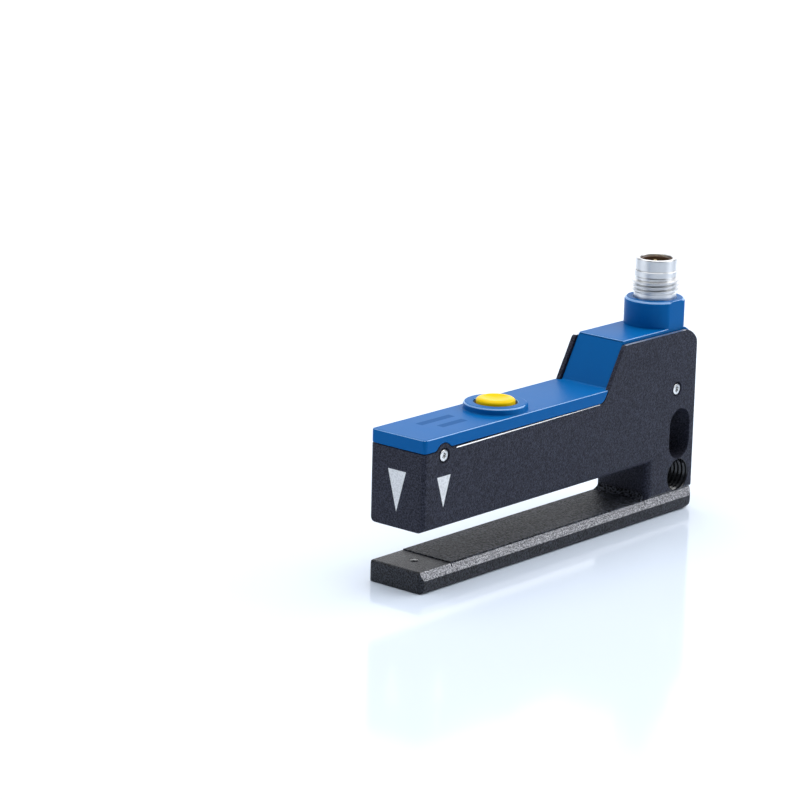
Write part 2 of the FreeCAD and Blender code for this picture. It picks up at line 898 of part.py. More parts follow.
def make_connector_shell():
    """The plated plug shell: stem, neck with a ring groove, threaded part, guide and mouth."""
    ring_low = neck_bottom + ring_groove_offset
    ring_high = ring_low + ring_groove_width
    return turned([
        (core_radius, stem_bottom, 0),
        (shell_stem_radius, stem_bottom, 0),
        (shell_stem_radius, neck_bottom, 0),
        (shell_neck_radius, neck_bottom, 0),
        (shell_neck_radius, ring_low, 0),
        (ring_groove_radius, ring_low, 0),
        (ring_groove_radius, ring_high, 0),
        (shell_neck_radius, ring_high, 0),
        (shell_neck_radius, thread_bottom, 0),
        (thread_radius, thread_bottom, 0),
        (thread_radius, thread_top, 0),
        (guide_radius, thread_top, 0),
        (guide_radius, guide_top, 0),
        (guide_radius - groove_depth, guide_top, 0),
        (guide_radius - groove_depth, mouth_bottom, 0),
        (mouth_radius, mouth_bottom, 0),
        (mouth_radius, shell_top, 0),
        (socket_radius, shell_top, 0),
        (socket_radius, socket_floor, 0),
        (core_radius, socket_floor, 0),
    ], boss_station)


def pin_places():
    """Places of the pins, evenly round their circle, as (x, station)."""
    places = []
    for i in range(pin_count):
        angle = math.radians(pin_start_deg + 360 * i / pin_count)
        places.append((pin_circle_radius * math.cos(angle), boss_station + pin_circle_radius * math.sin(angle)))
    return places


def make_contact_carrier():
    """The insert that holds the pins, with a flange on the socket floor and a thin liner above it."""
    top = socket_floor + insert_flange
    body = turned([
        (0, stem_bottom, 0),
        (core_radius, stem_bottom, 0),
        (core_radius, socket_floor, 0),
        (socket_radius, socket_floor, 0),
        (socket_radius, shell_top - liner_drop, 0),
        (socket_radius - liner_wall, shell_top - liner_drop, 0),
        (socket_radius - liner_wall, top, 0),
        (0, top, 0),
    ], boss_station)
    ways = [upright(pin_radius, station, 0, far, x) for x, station in pin_places()]
    return body.cut(ways)


def make_contact_pin(x, station):
    top = shell_top - pin_drop
    low = connector_board_top
    return turned([
        (0, low, 0),
        (pin_radius, low, 0),
        (pin_radius, top - pin_radius, 0),
        (pin_tip_radius, top, 0),
        (0, top, 0),
    ], station, x)


def make_connector_seal_ring():
    """A square-cut ring in the shell's groove, against the wall of the boss."""
    low = neck_bottom + ring_groove_offset + ring_clearance
    high = neck_bottom + ring_groove_offset + ring_groove_width - ring_clearance
    outer = shell_neck_radius + shell_neck_clearance - ring_clearance
    return upright(outer, boss_station, low, high).cut(upright(ring_groove_radius, boss_station, low, high))


def make_connector_nut():
    """A round nut under the boss, with four notches in its lower face."""
    ring = upright(nut_radius, boss_station, nut_bottom, boss_underside)
    half = nut_notch_width / 2
    top = nut_bottom + nut_notch_depth
    along = bar(half, boss_station - nut_radius, boss_station + nut_radius, nut_bottom, top)
    across = bar(nut_radius, boss_station - half, boss_station + half, nut_bottom, top)
    hole = upright(shell_stem_radius, boss_station, nut_bottom, boss_underside)
    return ring.cut([hole, along, across])


def make_connector_board():
    """The small board inside the raised back that the pins stand on."""
    half = insert_half - cover_rim - connector_board_play
    low = connector_board_top - connector_board_thickness
    back = hollow_back - connector_board_play
    return bar(half, connector_board_front, back, low, connector_board_top)


def make_connector_lead():
    """From the underside of the connector board down and forward, over the other lead's end."""
    high = connector_board_top - connector_board_thickness - lead_thickness / 2
    low = board_top + lead_thickness + lead_stack_gap + lead_thickness / 2
    return flat_lead([
        (connector_lead_station + lead_landing, high, 0),
        (connector_lead_station, high, lead_bend),
        (connector_lead_station, low, lead_bend),
        (lead_shaft_station - lead_landing, low, 0),
    ], lead_width / 2)


def make_foot_screw(side):
    """A low-headed screw from below, through the lower leg into the column."""
    x = side * foot_screw_offset
    low = foot_screw_recess
    seat = low + foot_screw_head_height
    return turned([
        (0, low, 0),
        (foot_screw_head_radius, low, 0),
        (foot_screw_head_radius, seat, 0),
        (foot_screw_radius, seat, 0),
        (foot_screw_radius, foot_screw_length, 0),
        (0, foot_screw_length, 0),
    ], foot_screw_station, x)


def make_cover_screw(station):
    """A small screw with a low round head, lying across the sensor with its head to the right."""
    seat = half_width - screw_pocket_depth
    head_top = seat + screw_head_height
    end = seat - screw_length
    points = [
        (end, 0, 0),
        (end + screw_shank_radius, screw_shank_radius, 0),
        (seat, screw_shank_radius, 0),
        (seat, screw_head_radius, 0),
        (head_top, screw_head_radius, 0),
        (head_top, 0, 0),
    ]
    face = Part.Face(rounded_wire(points, lambda a, b: Vector(a, station, lug_height + b)))
    return face.revolve(Vector(0, station, lug_height), Vector(1, 0, 0), 360)


def save(node, shape):
    """Write one piece, with the origin in the middle of the footprint."""
    moved = shape.copy()
    moved.translate(Vector(0, -body_length / 2, 0))
    if not moved.isValid():
        raise ValueError(node + " is not a valid shape")
    moved.exportStep("parts/" + node + ".step")
    print(node, len(moved.Solids), round(moved.Volume, 2))


def main():
    os.makedirs("parts", exist_ok=True)
    save("fork_housing", make_fork_housing())
    save("lower_arm", make_lower_arm())
    save("arm_cover_plate", make_arm_cover_plate())
    save("top_cover", make_top_cover())
    save("cover_gasket", make_cover_gasket())
    save("teach_button", make_teach_button())
    save("button_seal", make_button_seal())
    save("teach_switch", make_teach_switch())
    save("switch_plunger", make_switch_plunger())
    save("connector_shell", make_connector_shell())
    save("contact_carrier", make_contact_carrier())
    for i, (x, station) in enumerate(pin_places()):
        save("contact_pin_" + str(i + 1), make_contact_pin(x, station))
    save("connector_seal_ring", make_connector_seal_ring())
    save("connector_nut", make_connector_nut())
    save("connector_board", make_connector_board())
    save("connector_lead", make_connector_lead())
    save("main_board", make_main_board())
    save("controller_chip", make_controller_chip())
    save("receiver_lens", make_receiver_lens())
    save("receiver_holder", make_receiver_holder())
    save("receiver_diode", make_receiver_diode())
    save("receiver_board", make_receiver_board())
    save("board_link", make_board_link())
    save("emitter_lens", make_emitter_lens())
    save("emitter_diode", make_emitter_diode())
    save("emitter_board", make_emitter_board())
    save("flex_lead", make_flex_lead())
    save("front_cover_screw", make_cover_screw(beam_station))
    save("rear_cover_screw", make_cover_screw(back_screw_station))
    save("foot_screw_left", make_foot_screw(-1))
    save("foot_screw_right", make_foot_screw(1))


main()
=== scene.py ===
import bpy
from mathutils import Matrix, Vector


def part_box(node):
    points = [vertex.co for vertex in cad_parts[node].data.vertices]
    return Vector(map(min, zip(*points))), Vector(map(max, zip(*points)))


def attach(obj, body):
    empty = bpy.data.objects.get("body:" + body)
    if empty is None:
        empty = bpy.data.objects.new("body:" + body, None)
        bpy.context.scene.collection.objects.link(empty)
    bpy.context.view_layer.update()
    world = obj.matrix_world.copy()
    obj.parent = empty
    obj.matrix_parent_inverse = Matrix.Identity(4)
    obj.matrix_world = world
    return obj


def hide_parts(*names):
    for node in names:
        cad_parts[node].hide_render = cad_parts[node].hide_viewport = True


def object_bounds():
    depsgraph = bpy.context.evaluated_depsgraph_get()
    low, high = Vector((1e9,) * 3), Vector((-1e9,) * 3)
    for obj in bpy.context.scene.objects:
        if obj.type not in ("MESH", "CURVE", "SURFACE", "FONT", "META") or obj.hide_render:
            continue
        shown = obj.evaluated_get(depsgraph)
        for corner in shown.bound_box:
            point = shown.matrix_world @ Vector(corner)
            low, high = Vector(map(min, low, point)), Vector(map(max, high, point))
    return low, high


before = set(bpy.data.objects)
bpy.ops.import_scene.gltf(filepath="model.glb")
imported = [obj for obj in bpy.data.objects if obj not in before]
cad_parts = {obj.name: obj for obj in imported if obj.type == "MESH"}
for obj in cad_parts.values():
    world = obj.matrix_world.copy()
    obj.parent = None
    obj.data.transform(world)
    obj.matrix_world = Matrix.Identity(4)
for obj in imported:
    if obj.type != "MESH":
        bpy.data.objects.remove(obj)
CAD_BOX = [list(corner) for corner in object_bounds()]

import math

import bmesh
import bpy
from bpy.props import FloatProperty, FloatVectorProperty, PointerProperty
from mathutils import Matrix, Vector

bl_info = {
    "name": "Fork sensor finish",
    "version": (1, 0, 0),
    "blender": (4, 5, 0),
    "location": "3D View > Sidebar > Fork sensor",
    "description": "Gives a slim fork sensor its coats, print, threads and studio",
    "category": "Object",
}

MM = 0.001
HOUSING_BODY = "housing"
BUTTON_BODY = "button"
FINISH_PREFIX = "finish_"

# Ends of the sensor and of its parts, read from the frame
BOX_LOW, BOX_HIGH = (Vector(corner) for corner in CAD_BOX)
COVER_LOW = Vector(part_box("top_cover")[0])
SHELL_LOW, SHELL_HIGH = (Vector(corner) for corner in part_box("connector_shell"))
BUTTON_LOW, BUTTON_HIGH = (Vector(corner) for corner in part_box("teach_button"))
SEAL_LOW, SEAL_HIGH = (Vector(corner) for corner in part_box("button_seal"))
TIP = BOX_LOW.y
SIDE = BOX_HIGH.x

# Limits of the modelling steps; angles are in degrees
MERGE_DISTANCE = 0.002 * MM
RING_MERGE_DISTANCE = 0.0005 * MM
THREAD_MATCH = 0.001 * MM
ON_PLANE = 0.01 * MM
FACING = 0.99
FLAT_ANGLE = 0.8
SHARP_ANGLE = 32
SMOOTH_ANGLE = 38
# Width of a thread's root, as a share of its pitch
THREAD_ROOT_SHARE = 0.86


class ForkSensorSizes(bpy.types.PropertyGroup):
    """Sizes of the finish that a user may change."""

    edge_bevel: FloatProperty(
        name="Edge bevel", description="Rounding of the moulded and cast edges",
        default=0.12 * MM, min=0.0, unit="LENGTH")
    bare_edge: FloatProperty(
        name="Bare edge",
        description="Width of the bright edge of the side walls, where the coat is milled away",
        default=0.60 * MM, min=0.0, unit="LENGTH")
    bare_ledge: FloatProperty(
        name="Bare ledge",
        description="Rounding of the ledge under the cover, with a bright line along its middle",
        default=0.34 * MM, min=0.0, unit="LENGTH")
    # The cover's rounded edges also carry a painted highlight in a lighter blue.
    cover_edge_and_highlight: FloatProperty(
        name="Cover edge", description="Rounding of the moulded cover's edges",
        default=0.20 * MM, min=0.0, unit="LENGTH")
    coat_grain: FloatProperty(
        name="Coat grain", description="Width of one grain of the textured coat",
        default=0.26 * MM, min=0.01 * MM, unit="LENGTH")
    plug_pitch: FloatProperty(
        name="Plug thread pitch", description="Distance between two turns of the plug's thread",
        default=0.75 * MM, min=0.2 * MM, unit="LENGTH")
    plug_crest: FloatProperty(
        name="Plug thread crest", description="Width of the thread's outer flat",
        default=0.12 * MM, min=0.01 * MM, unit="LENGTH")
    hole_pitch: FloatProperty(
        name="Hole thread pitch",
        description="Distance between two turns of the tapped hole's thread",
        default=0.8 * MM, min=0.2 * MM, unit="LENGTH")
    hole_depth: FloatProperty(
        name="Hole thread depth", description="Depth of the tapped hole's thread below its crests",
        default=0.25 * MM, min=0.05 * MM, unit="LENGTH")
    front_mark_width: FloatProperty(
        name="Front mark width", description="Width of the white beam mark on the tip",
        default=3.7 * MM, min=0.1 * MM, unit="LENGTH")
    side_mark_width: FloatProperty(
        name="Side mark width", description="Width of the white beam mark on the side",
        default=3.2 * MM, min=0.1 * MM, unit="LENGTH")


class ForkSensorColours(bpy.types.PropertyGroup):
    """Colours of the finish that a user may change."""

    coat: FloatVectorProperty(
        name="Textured coat", description="Colour of the housing's dark coat", subtype="COLOR",
        size=4, min=0.0, max=1.0, default=(0.024, 0.026, 0.044, 1.0))
    leg: FloatVectorProperty(
        name="Leg coat", description="Colour of the lower leg's dark coat", subtype="COLOR",
        size=4, min=0.0, max=1.0, default=(0.013, 0.015, 0.022, 1.0))
    cover: FloatVectorProperty(
        name="Cover blue", description="Colour of the moulded cover", subtype="COLOR",
        size=4, min=0.0, max=1.0, default=(0.0, 0.126, 0.405, 1.0))
    button: FloatVectorProperty(
        name="Button yellow", description="Colour of the push button", subtype="COLOR",
        size=4, min=0.0, max=1.0, default=(0.93, 0.62, 0.002, 1.0))
    print_white: FloatVectorProperty(
        name="Print white", description="Colour of the beam marks", subtype="COLOR",
        size=4, min=0.0, max=1.0, default=(0.93, 0.94, 0.95, 1.0))
    plating: FloatVectorProperty(
        name="Plating", description="Colour of the plated plug shell", subtype="COLOR",
        size=4, min=0.0, max=1.0, default=(0.80, 0.80, 0.80, 1.0))
    gilding: FloatVectorProperty(
        name="Gilding", description="Colour of the contact pins", subtype="COLOR",
        size=4, min=0.0, max=1.0, default=(1.0, 0.80, 0.45, 1.0))
    floor: FloatVectorProperty(
        name="Floor", description="Colour of the studio floor", subtype="COLOR",
        size=4, min=0.0, max=1.0, default=(0.76, 0.85, 0.98, 1.0))


def sizes():
    return bpy.context.scene.fork_sensor_sizes


def colours():
    return bpy.context.scene.fork_sensor_colours


# Modelling steps

def deselect():
    if bpy.context.object and bpy.context.object.mode != "OBJECT":
        bpy.ops.object.mode_set(mode="OBJECT")
    bpy.ops.object.select_all(action="DESELECT")


def activate(piece):
    deselect()
    piece.select_set(True)
    bpy.context.view_layer.objects.active = piece


def name_piece(piece, name):
    piece.name = name
    piece.data.name = name
    return piece


def pick(piece, kind, test):
    """In edit mode, selects the faces, edges or verts that pass the test, and nothing else."""
    bpy.ops.mesh.select_mode(type=kind)
    bpy.ops.mesh.select_all(action="DESELECT")
    mesh = bmesh.from_edit_mesh(piece.data)
    elements = {"VERT": mesh.verts, "EDGE": mesh.edges, "FACE": mesh.faces}[kind]
    found = 0
    for element in elements:
        if test(element):
            element.select_set(True)
            found += 1
    mesh.select_flush_mode()
    bmesh.update_edit_mesh(piece.data)
    return found


def apply_modifier(piece, kind, **settings):
    activate(piece)
    modifier = piece.modifiers.new(kind.title(), kind)
    for key, value in settings.items():
        setattr(modifier, key, value)
    bpy.ops.object.modifier_apply(modifier=modifier.name)


def merged_copy(node, name, *finishes):
    """A copy of a CAD node with its loose triangles joined and its flat faces made whole."""
    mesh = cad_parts[node].data.copy()
    piece = bpy.data.objects.new(name, mesh)
    bpy.context.scene.collection.objects.link(piece)
    name_piece(piece, name)
    mesh.materials.clear()
    for finish in finishes:
        mesh.materials.append(material_of(finish))
    activate(piece)
    if mesh.has_custom_normals:
        bpy.ops.mesh.customdata_custom_splitnormals_clear()
    bpy.ops.object.mode_set(mode="EDIT")
    bpy.ops.mesh.select_all(action="SELECT")
    bpy.ops.mesh.remove_doubles(threshold=MERGE_DISTANCE)
    bpy.ops.mesh.dissolve_limited(angle_limit=math.radians(FLAT_ANGLE))
    bpy.ops.object.mode_set(mode="OBJECT")
    return piece


def round_edges(piece, width, segments, **limit):
    apply_modifier(
        piece, "BEVEL", width=width, segments=segments, use_clamp_overlap=False,
        miter_outer="MITER_ARC", harden_normals=False, **limit)


def soften(piece, width, segments=2, angle=SHARP_ANGLE):
    """Rounds the sharp edges a little, as casting and moulding leave them."""
    round_edges(piece, width, segments, limit_method="ANGLE", angle_limit=math.radians(angle))


def trim_edges(piece, width, on_edge, slot, segments):
    """Cuts a narrow bevel along the edges that pass on_edge and gives it a material slot."""
    activate(piece)
    bpy.ops.object.mode_set(mode="EDIT")
    if not pick(piece, "EDGE", on_edge):
        raise RuntimeError("no edge to trim on " + piece.name)
    bpy.ops.mesh.bevel(
        offset=width, offset_type="OFFSET", segments=segments, affect="EDGES", material=slot,
        clamp_overlap=False)
    bpy.ops.object.mode_set(mode="OBJECT")


def smooth(piece, angle=SMOOTH_ANGLE):
    activate(piece)
    bpy.ops.object.shade_smooth_by_angle(angle=math.radians(angle))
    apply_modifier(piece, "WEIGHTED_NORMAL", keep_sharp=True, weight=60)


def seat(piece, body, slot, *nodes):
    """Hangs a piece on the body that it rides on and hides the nodes it stands for; slot is not
    used.
    """
    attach(piece, body)
    if nodes:
        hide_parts(*nodes)
    return piece


def coat(piece, finish):
    piece.data.materials.append(material_of(finish))
    return piece


def turned(name, centre, rings, segments=96, hollow=False):
    """Turns a profile (radius, height) about an upright axis, from ring to ring.

    A hollow piece has a closed profile, whose last ring lies on its first one.
    """
    deselect()
    radius, height = rings[0]
    fill = "NOTHING" if hollow else "NGON"
    bpy.ops.mesh.primitive_circle_add(
        vertices=segments, radius=radius, fill_type=fill, location=(centre[0], centre[1], height))
    piece = name_piece(bpy.context.object, name)
    bpy.ops.object.transform_apply(location=True, rotation=True, scale=True)
    bpy.ops.object.mode_set(mode="EDIT")
    bpy.ops.mesh.select_mode(type="EDGE")
    bpy.ops.mesh.select_all(action="SELECT")
    for next_radius, next_height in rings[1:]:
        step = (0, 0, next_height - height)
        bpy.ops.mesh.extrude_region_move(TRANSFORM_OT_translate={"value": step})
        scale = next_radius / radius
        bpy.ops.transform.resize(
            value=(scale, scale, 1), center_override=(centre[0], centre[1], next_height))
        radius, height = next_radius, next_height
    bpy.ops.mesh.select_all(action="SELECT")
    bpy.ops.mesh.remove_doubles(threshold=RING_MERGE_DISTANCE)
    bpy.ops.mesh.normals_make_consistent(inside=False)
    bpy.ops.object.mode_set(mode="OBJECT")
    return piece


def middle_of(low, high):
    """Where the upright axis of a round node stands."""
    return ((low.x + high.x) / 2, (low.y + high.y) / 2)


def join(piece, other):
    activate(piece)
    other.select_set(True)
    bpy.ops.object.join()
    return piece


def thread_ridge(name, root, crest, pitch, crest_width, start, turns, steps_per_turn, run_out):
    """A helical tooth about the upright axis through the origin.

    It fades into its core over the first and the last run_out steps.
    """
    deselect()
    root_width = pitch * THREAD_ROOT_SHARE
    bpy.ops.mesh.primitive_plane_add(
        size=1, location=((root + crest) / 2, 0, start), rotation=(math.pi / 2, 0, 0))
    tooth = name_piece(bpy.context.object, name)
    tooth.scale = (abs(crest - root), root_width, 1)
    bpy.ops.object.transform_apply(location=True, rotation=True, scale=True)
    bpy.ops.object.mode_set(mode="EDIT")
    pick(tooth, "VERT", lambda vert: abs(vert.co.x - crest) < abs(vert.co.x - root))
    bpy.ops.transform.resize(
        value=(1, 1, crest_width / root_width), center_override=(crest, 0, start))
    bpy.ops.mesh.select_all(action="SELECT")
    bpy.ops.mesh.delete(type="ONLY_FACE")
    bpy.ops.object.mode_set(mode="OBJECT")
    steps = round(steps_per_turn * turns)
    apply_modifier(
        tooth, "SCREW", axis="Z", angle=2 * math.pi * turns, screw_offset=pitch * turns,
        iterations=1, steps=steps, render_steps=steps, use_merge_vertices=False,
        use_smooth_shade=False)
    bpy.ops.object.mode_set(mode="EDIT")
    for i in range(run_out):
        fade = (crest + (root - crest) * (1 - i / run_out)) / crest
        for end in (i, steps - i):
            angle = 2 * math.pi * turns * end / steps
            height = start + pitch * turns * end / steps
            ray = Vector((math.cos(angle), math.sin(angle)))
            pick(tooth, "VERT", lambda vert: (
                abs(vert.co.x * ray.y - vert.co.y * ray.x) < THREAD_MATCH
                and vert.co.x * ray.x + vert.co.y * ray.y > 0
                and abs(vert.co.z - height) < pitch / 2
                and abs(vert.co.xy.length - crest) < THREAD_MATCH))
            bpy.ops.transform.resize(value=(fade, fade, 1), center_override=(0, 0, height))
    bpy.ops.mesh.select_all(action="SELECT")
    bpy.ops.mesh.fill_holes(sides=4)
    bpy.ops.mesh.normals_make_consistent(inside=False)
    bpy.ops.object.mode_set(mode="OBJECT")
    return tooth


def set_place(piece, matrix):
    """Moves a piece by a matrix and puts its place into its mesh."""
    activate(piece)
    piece.matrix_world = matrix
    bpy.ops.object.transform_apply(location=True, rotation=True, scale=True)


def facing(normal, point):
    """A test for the flat faces that look along normal and lie in the plane through point."""
    return lambda face: (
        face.normal.dot(normal) > FACING
        and abs((face.calc_center_median() - point).dot(normal)) < ON_PLANE)


def add_patch(piece, corners, normal, slot):
    """Cuts a convex patch into the flat faces that it lies in and gives it a material slot."""
    on_face = facing(normal, corners[0])
    activate(piece)
    bpy.ops.object.mode_set(mode="EDIT")
    middle = sum(corners, Vector()) / len(corners)
    walls = []
    for i, corner in enumerate(corners):
        along = corners[(i + 1) % len(corners)] - corner
        outward = along.cross(normal)
        if outward.dot(middle - corner) > 0:
            outward = -outward
        walls.append((corner, outward.normalized()))
    for corner, outward in walls:
        pick(piece, "FACE", on_face)
        bpy.ops.mesh.bisect(plane_co=corner, plane_no=outward, use_fill=False)
    mesh = bmesh.from_edit_mesh(piece.data)
    for face in mesh.faces:
        point = face.calc_center_median()
        if on_face(face) and all((point - corner).dot(outward) < 0 for corner, outward in walls):
            face.material_index = slot
    bmesh.update_edit_mesh(piece.data)
    bpy.ops.object.mode_set(mode="OBJECT")


# Materials

class Graph:
    """A short way to add nodes to one node tree and join them."""

    def __init__(self, tree):
        self.tree = tree

    def add(self, kind, inputs=None, **settings):
        node = self.tree.nodes.new(kind)
        for key, value in settings.items():
            setattr(node, key, value)
        self.fill(node, inputs or {})
        return node

    def fill(self, node, inputs):
        for key, value in inputs.items():
            socket = node.inputs[key]
            if isinstance(value, bpy.types.NodeSocket):
                self.tree.links.new(value, socket)
            else:
                socket.default_value = value

    def maths(self, operation, a, b=0.0, c=0.0):
        return self.add("ShaderNodeMath", {0: a, 1: b, 2: c}, operation=operation).outputs[0]

    def blend(self, factor, a, b):
        return self.add("ShaderNodeMix", {0: factor, 6: a, 7: b}, data_type="RGBA").outputs[2]

    def noise(self, vector, scale, detail=2.0, roughness=0.5):
        return self.add("ShaderNodeTexNoise", {
            "Vector": vector, "Scale": scale, "Detail": detail, "Roughness": roughness,
        }).outputs["Fac"]

    def ramp(self, value, low, high):
        return self.add("ShaderNodeMapRange", {
            "Value": value, "From Min": low, "From Max": high,
        }, interpolation_type="SMOOTHSTEP").outputs[0]

    def group(self, name, inputs):
        node = self.tree.nodes.new("ShaderNodeGroup")
        node.node_tree = bpy.data.node_groups[name]
        self.fill(node, inputs)
        return node.outputs

    def link(self, source, sink):
        self.tree.links.new(source, sink)

    def relief(self, height, shader, strength, distance):
        bump = self.add(
            "ShaderNodeBump", {"Height": height, "Strength": strength, "Distance": distance})
        self.link(bump.outputs["Normal"], shader.inputs["Normal"])


def new_group(name, inputs, outputs):
    """A shader node group; returns its graph, what it is given and what it puts out."""
    tree = bpy.data.node_groups.new(name, "ShaderNodeTree")
    for label, kind, default in inputs:
        socket = tree.interface.new_socket(name=label, in_out="INPUT", socket_type=kind)
        if default is not None:
            socket.default_value = default
    for label in outputs:
        tree.interface.new_socket(name=label, in_out="OUTPUT", socket_type="NodeSocketFloat")
    source = tree.nodes.new("NodeGroupInput")
    sink = tree.nodes.new("NodeGroupOutput")
    return Graph(tree), source.outputs, sink.inputs


def build_coat_grain():
    """Fine pebbled relief of a textured coat, with a speckle mask for its tips."""
    graph, given, put = new_group(
        "Coat Grain",
        [("Vector", "NodeSocketVector", None), ("Grain", "NodeSocketFloat", 0.3 * MM),
         ("Unevenness", "NodeSocketFloat", 0.5)],
        ["Height", "Tips", "Cloud"])
    fine_share, cloud_share = 2.3, 0.02
    place = given["Vector"]
    scale = graph.maths("DIVIDE", 1.0, given["Grain"])
    pebbles = graph.add(
        "ShaderNodeTexVoronoi", {"Vector": place, "Scale": scale}, feature="SMOOTH_F1")
    pebbles.inputs["Smoothness"].default_value = 0.6
    fine_scale = graph.maths("MULTIPLY", scale, fine_share)
    fine = graph.noise(place, fine_scale, detail=3.0, roughness=0.6)
    dome = graph.maths("SUBTRACT", 1.0, pebbles.outputs["Distance"])
    height = graph.maths("ADD", dome, graph.maths("MULTIPLY", fine, given["Unevenness"]))
    cloud_scale = graph.maths("MULTIPLY", scale, cloud_share)
    cloud = graph.noise(place, cloud_scale, detail=3.0)
    tips = graph.ramp(graph.noise(place, scale, detail=2.0, roughness=0.7), low=0.38, high=0.64)
    graph.link(height, put["Height"])
    graph.link(tips, put["Tips"])
    graph.link(cloud, put["Cloud"])


def build_surface_haze():
    """Slow variation of gloss, as handling and moulding leave it."""
    graph, given, put = new_group(
        "Surface Haze",
        [("Vector", "NodeSocketVector", None), ("Size", "NodeSocketFloat", 10 * MM),
         ("Low", "NodeSocketFloat", 0.3), ("High", "NodeSocketFloat", 0.4)],
        ["Roughness", "Cloud"])
    scale = graph.maths("DIVIDE", 1.0, given["Size"])
    cloud = graph.noise(given["Vector"], scale, detail=4.0, roughness=0.55)
    spread = graph.maths("SUBTRACT", given["High"], given["Low"])
    rough = graph.maths("MULTIPLY_ADD", cloud, spread, given["Low"])
    graph.link(rough, put["Roughness"])
    graph.link(cloud, put["Cloud"])


def new_material(name):
    material = bpy.data.materials.new(FINISH_PREFIX + name)
    material.use_nodes = True
    graph = Graph(material.node_tree)
    shader = material.node_tree.nodes["Principled BSDF"]
    place = graph.add("ShaderNodeTexCoord").outputs["Object"]
    return material, graph, shader, place


def material_of(name):
    return bpy.data.materials[FINISH_PREFIX + name]


def shaded(colour, factor):
    """A colour with its red, green and blue multiplied by factor."""
    return tuple(value * factor for value in tuple(colour)[:3]) + (1.0,)


def coat_material(name, colour, contrast=1.0, ior=1.25, gloss=0.42, grain_scale=1.0):
    """Textured powder coat: dark and pebbled; its paler tips are grain tone with painted glints,
    its deeper hollows grain tone with painted shade.
    """
    gloss_spread, relief_depth = 0.12, 0.09 * MM
    hollow_shading, full_contrast = 0.6, 1.5
    _, graph, shader, place = new_material(name)
    grain = graph.group("Coat Grain", {
        "Vector": place, "Grain": sizes().coat_grain * grain_scale, "Unevenness": 0.6})
    base = tuple(colour)[:3]
    middle = sum(base) / 3
    # The paler colour is grain tone plus painted glints on the grain's tips; the deeper one is
    # grain tone plus painted shade in its hollows.
    pale_tip_glint = tuple(value + contrast * (0.5 * value + 0.5 * middle) for value in base) + (1.0,)
    deep_hollow_shade = shaded(colour, 1 - hollow_shading * min(contrast, full_contrast))
    graph.link(graph.blend(grain["Tips"], deep_hollow_shade, pale_tip_glint), shader.inputs["Base Color"])
    rough = graph.maths("MULTIPLY_ADD", grain["Cloud"], gloss_spread, gloss)
    graph.link(rough, shader.inputs["Roughness"])
    shader.inputs["IOR"].default_value = ior
    graph.relief(grain["Height"], shader, 1.0, relief_depth * grain_scale)


def milled_material():
    """Bare cast metal with fine cutter marks, seen where the coat is cut away."""
    dark, bright = (0.09, 0.09, 0.10, 1.0), (0.68, 0.68, 0.71, 1.0)
    marks_per_metre = 5200.0
    _, graph, shader, place = new_material("milled_bevel")
    shader.inputs["Metallic"].default_value = 1.0
    grain = graph.group(
        "Coat Grain", {"Vector": place, "Grain": 0.22 * MM, "Unevenness": 1.0})
    marks = graph.noise(place, marks_per_metre, detail=3.0, roughness=0.8)
    speckle = graph.ramp(marks, low=0.42, high=0.66)
    graph.link(graph.blend(speckle, dark, bright), shader.inputs["Base Color"])
    rough = graph.maths("MULTIPLY_ADD", grain["Cloud"], 0.15, 0.36)
    graph.link(rough, shader.inputs["Roughness"])
    graph.relief(grain["Height"], shader, 0.7, 0.03 * MM)


def moulded_material(name, colour, low, high, relief_strength=0.10, ior=1.4):
    """Moulded plastic with a faint grain and a change of gloss from low to high roughness."""
    haze_size, grain, relief_depth = 9 * MM, 0.12 * MM, 0.01 * MM
    _, graph, shader, place = new_material(name)
    haze = graph.group(
        "Surface Haze", {"Vector": place, "Size": haze_size, "Low": low, "High": high})
    cloudy = graph.blend(haze["Cloud"], shaded(colour, 0.92), tuple(colour))
    graph.link(cloudy, shader.inputs["Base Color"])
    graph.link(haze["Roughness"], shader.inputs["Roughness"])
    shader.inputs["IOR"].default_value = ior
    graph.relief(graph.noise(place, 1.0 / grain), shader, relief_strength, relief_depth)


def metal_material(name, colour, low, high, lines=0.0):
    """Plated or turned metal; lines sets the strength of the turning marks."""
    haze_size, lines_per_metre, line_depth = 2.5 * MM, 9000.0, 0.01 * MM
    _, graph, shader, place = new_material(name)
    shader.inputs["Metallic"].default_value = 1.0
    haze = graph.group(
        "Surface Haze", {"Vector": place, "Size": haze_size, "Low": low, "High": high})
    cloudy = graph.blend(haze["Cloud"], shaded(colour, 0.86), tuple(colour))
    graph.link(cloudy, shader.inputs["Base Color"])
    graph.link(haze["Roughness"], shader.inputs["Roughness"])
    squash = graph.add("ShaderNodeMapping", {"Vector": place, "Scale": (0.02, 0.02, 1.0)})
    turning = graph.noise(squash.outputs[0], lines_per_metre)
    graph.relief(turning, shader, lines, line_depth)


def print_material(name, colour):
    """Pad print on the textured coat: ink that takes up the coat's grain."""
    _, graph, shader, place = new_material(name)
    grain = graph.group(
        "Coat Grain", {"Vector": place, "Grain": sizes().coat_grain, "Unevenness": 0.6})
    ink = graph.blend(grain["Tips"], tuple(colour), shaded(colour, 0.80))
    graph.link(ink, shader.inputs["Base Color"])
    rough = graph.maths("MULTIPLY_ADD", grain["Cloud"], 0.1, 0.5)
    graph.link(rough, shader.inputs["Roughness"])
    graph.relief(grain["Height"], shader, 0.25, 0.02 * MM)


def glass_material(name, colour):
    _, graph, shader, place = new_material(name)
    shader.inputs["Transmission Weight"].default_value = 0.85
    shader.inputs["Base Color"].default_value = colour
    haze = graph.group(
        "Surface Haze", {"Vector": place, "Size": 1.0 * MM, "Low": 0.04, "High": 0.10})
    graph.link(haze["Roughness"], shader.inputs["Roughness"])


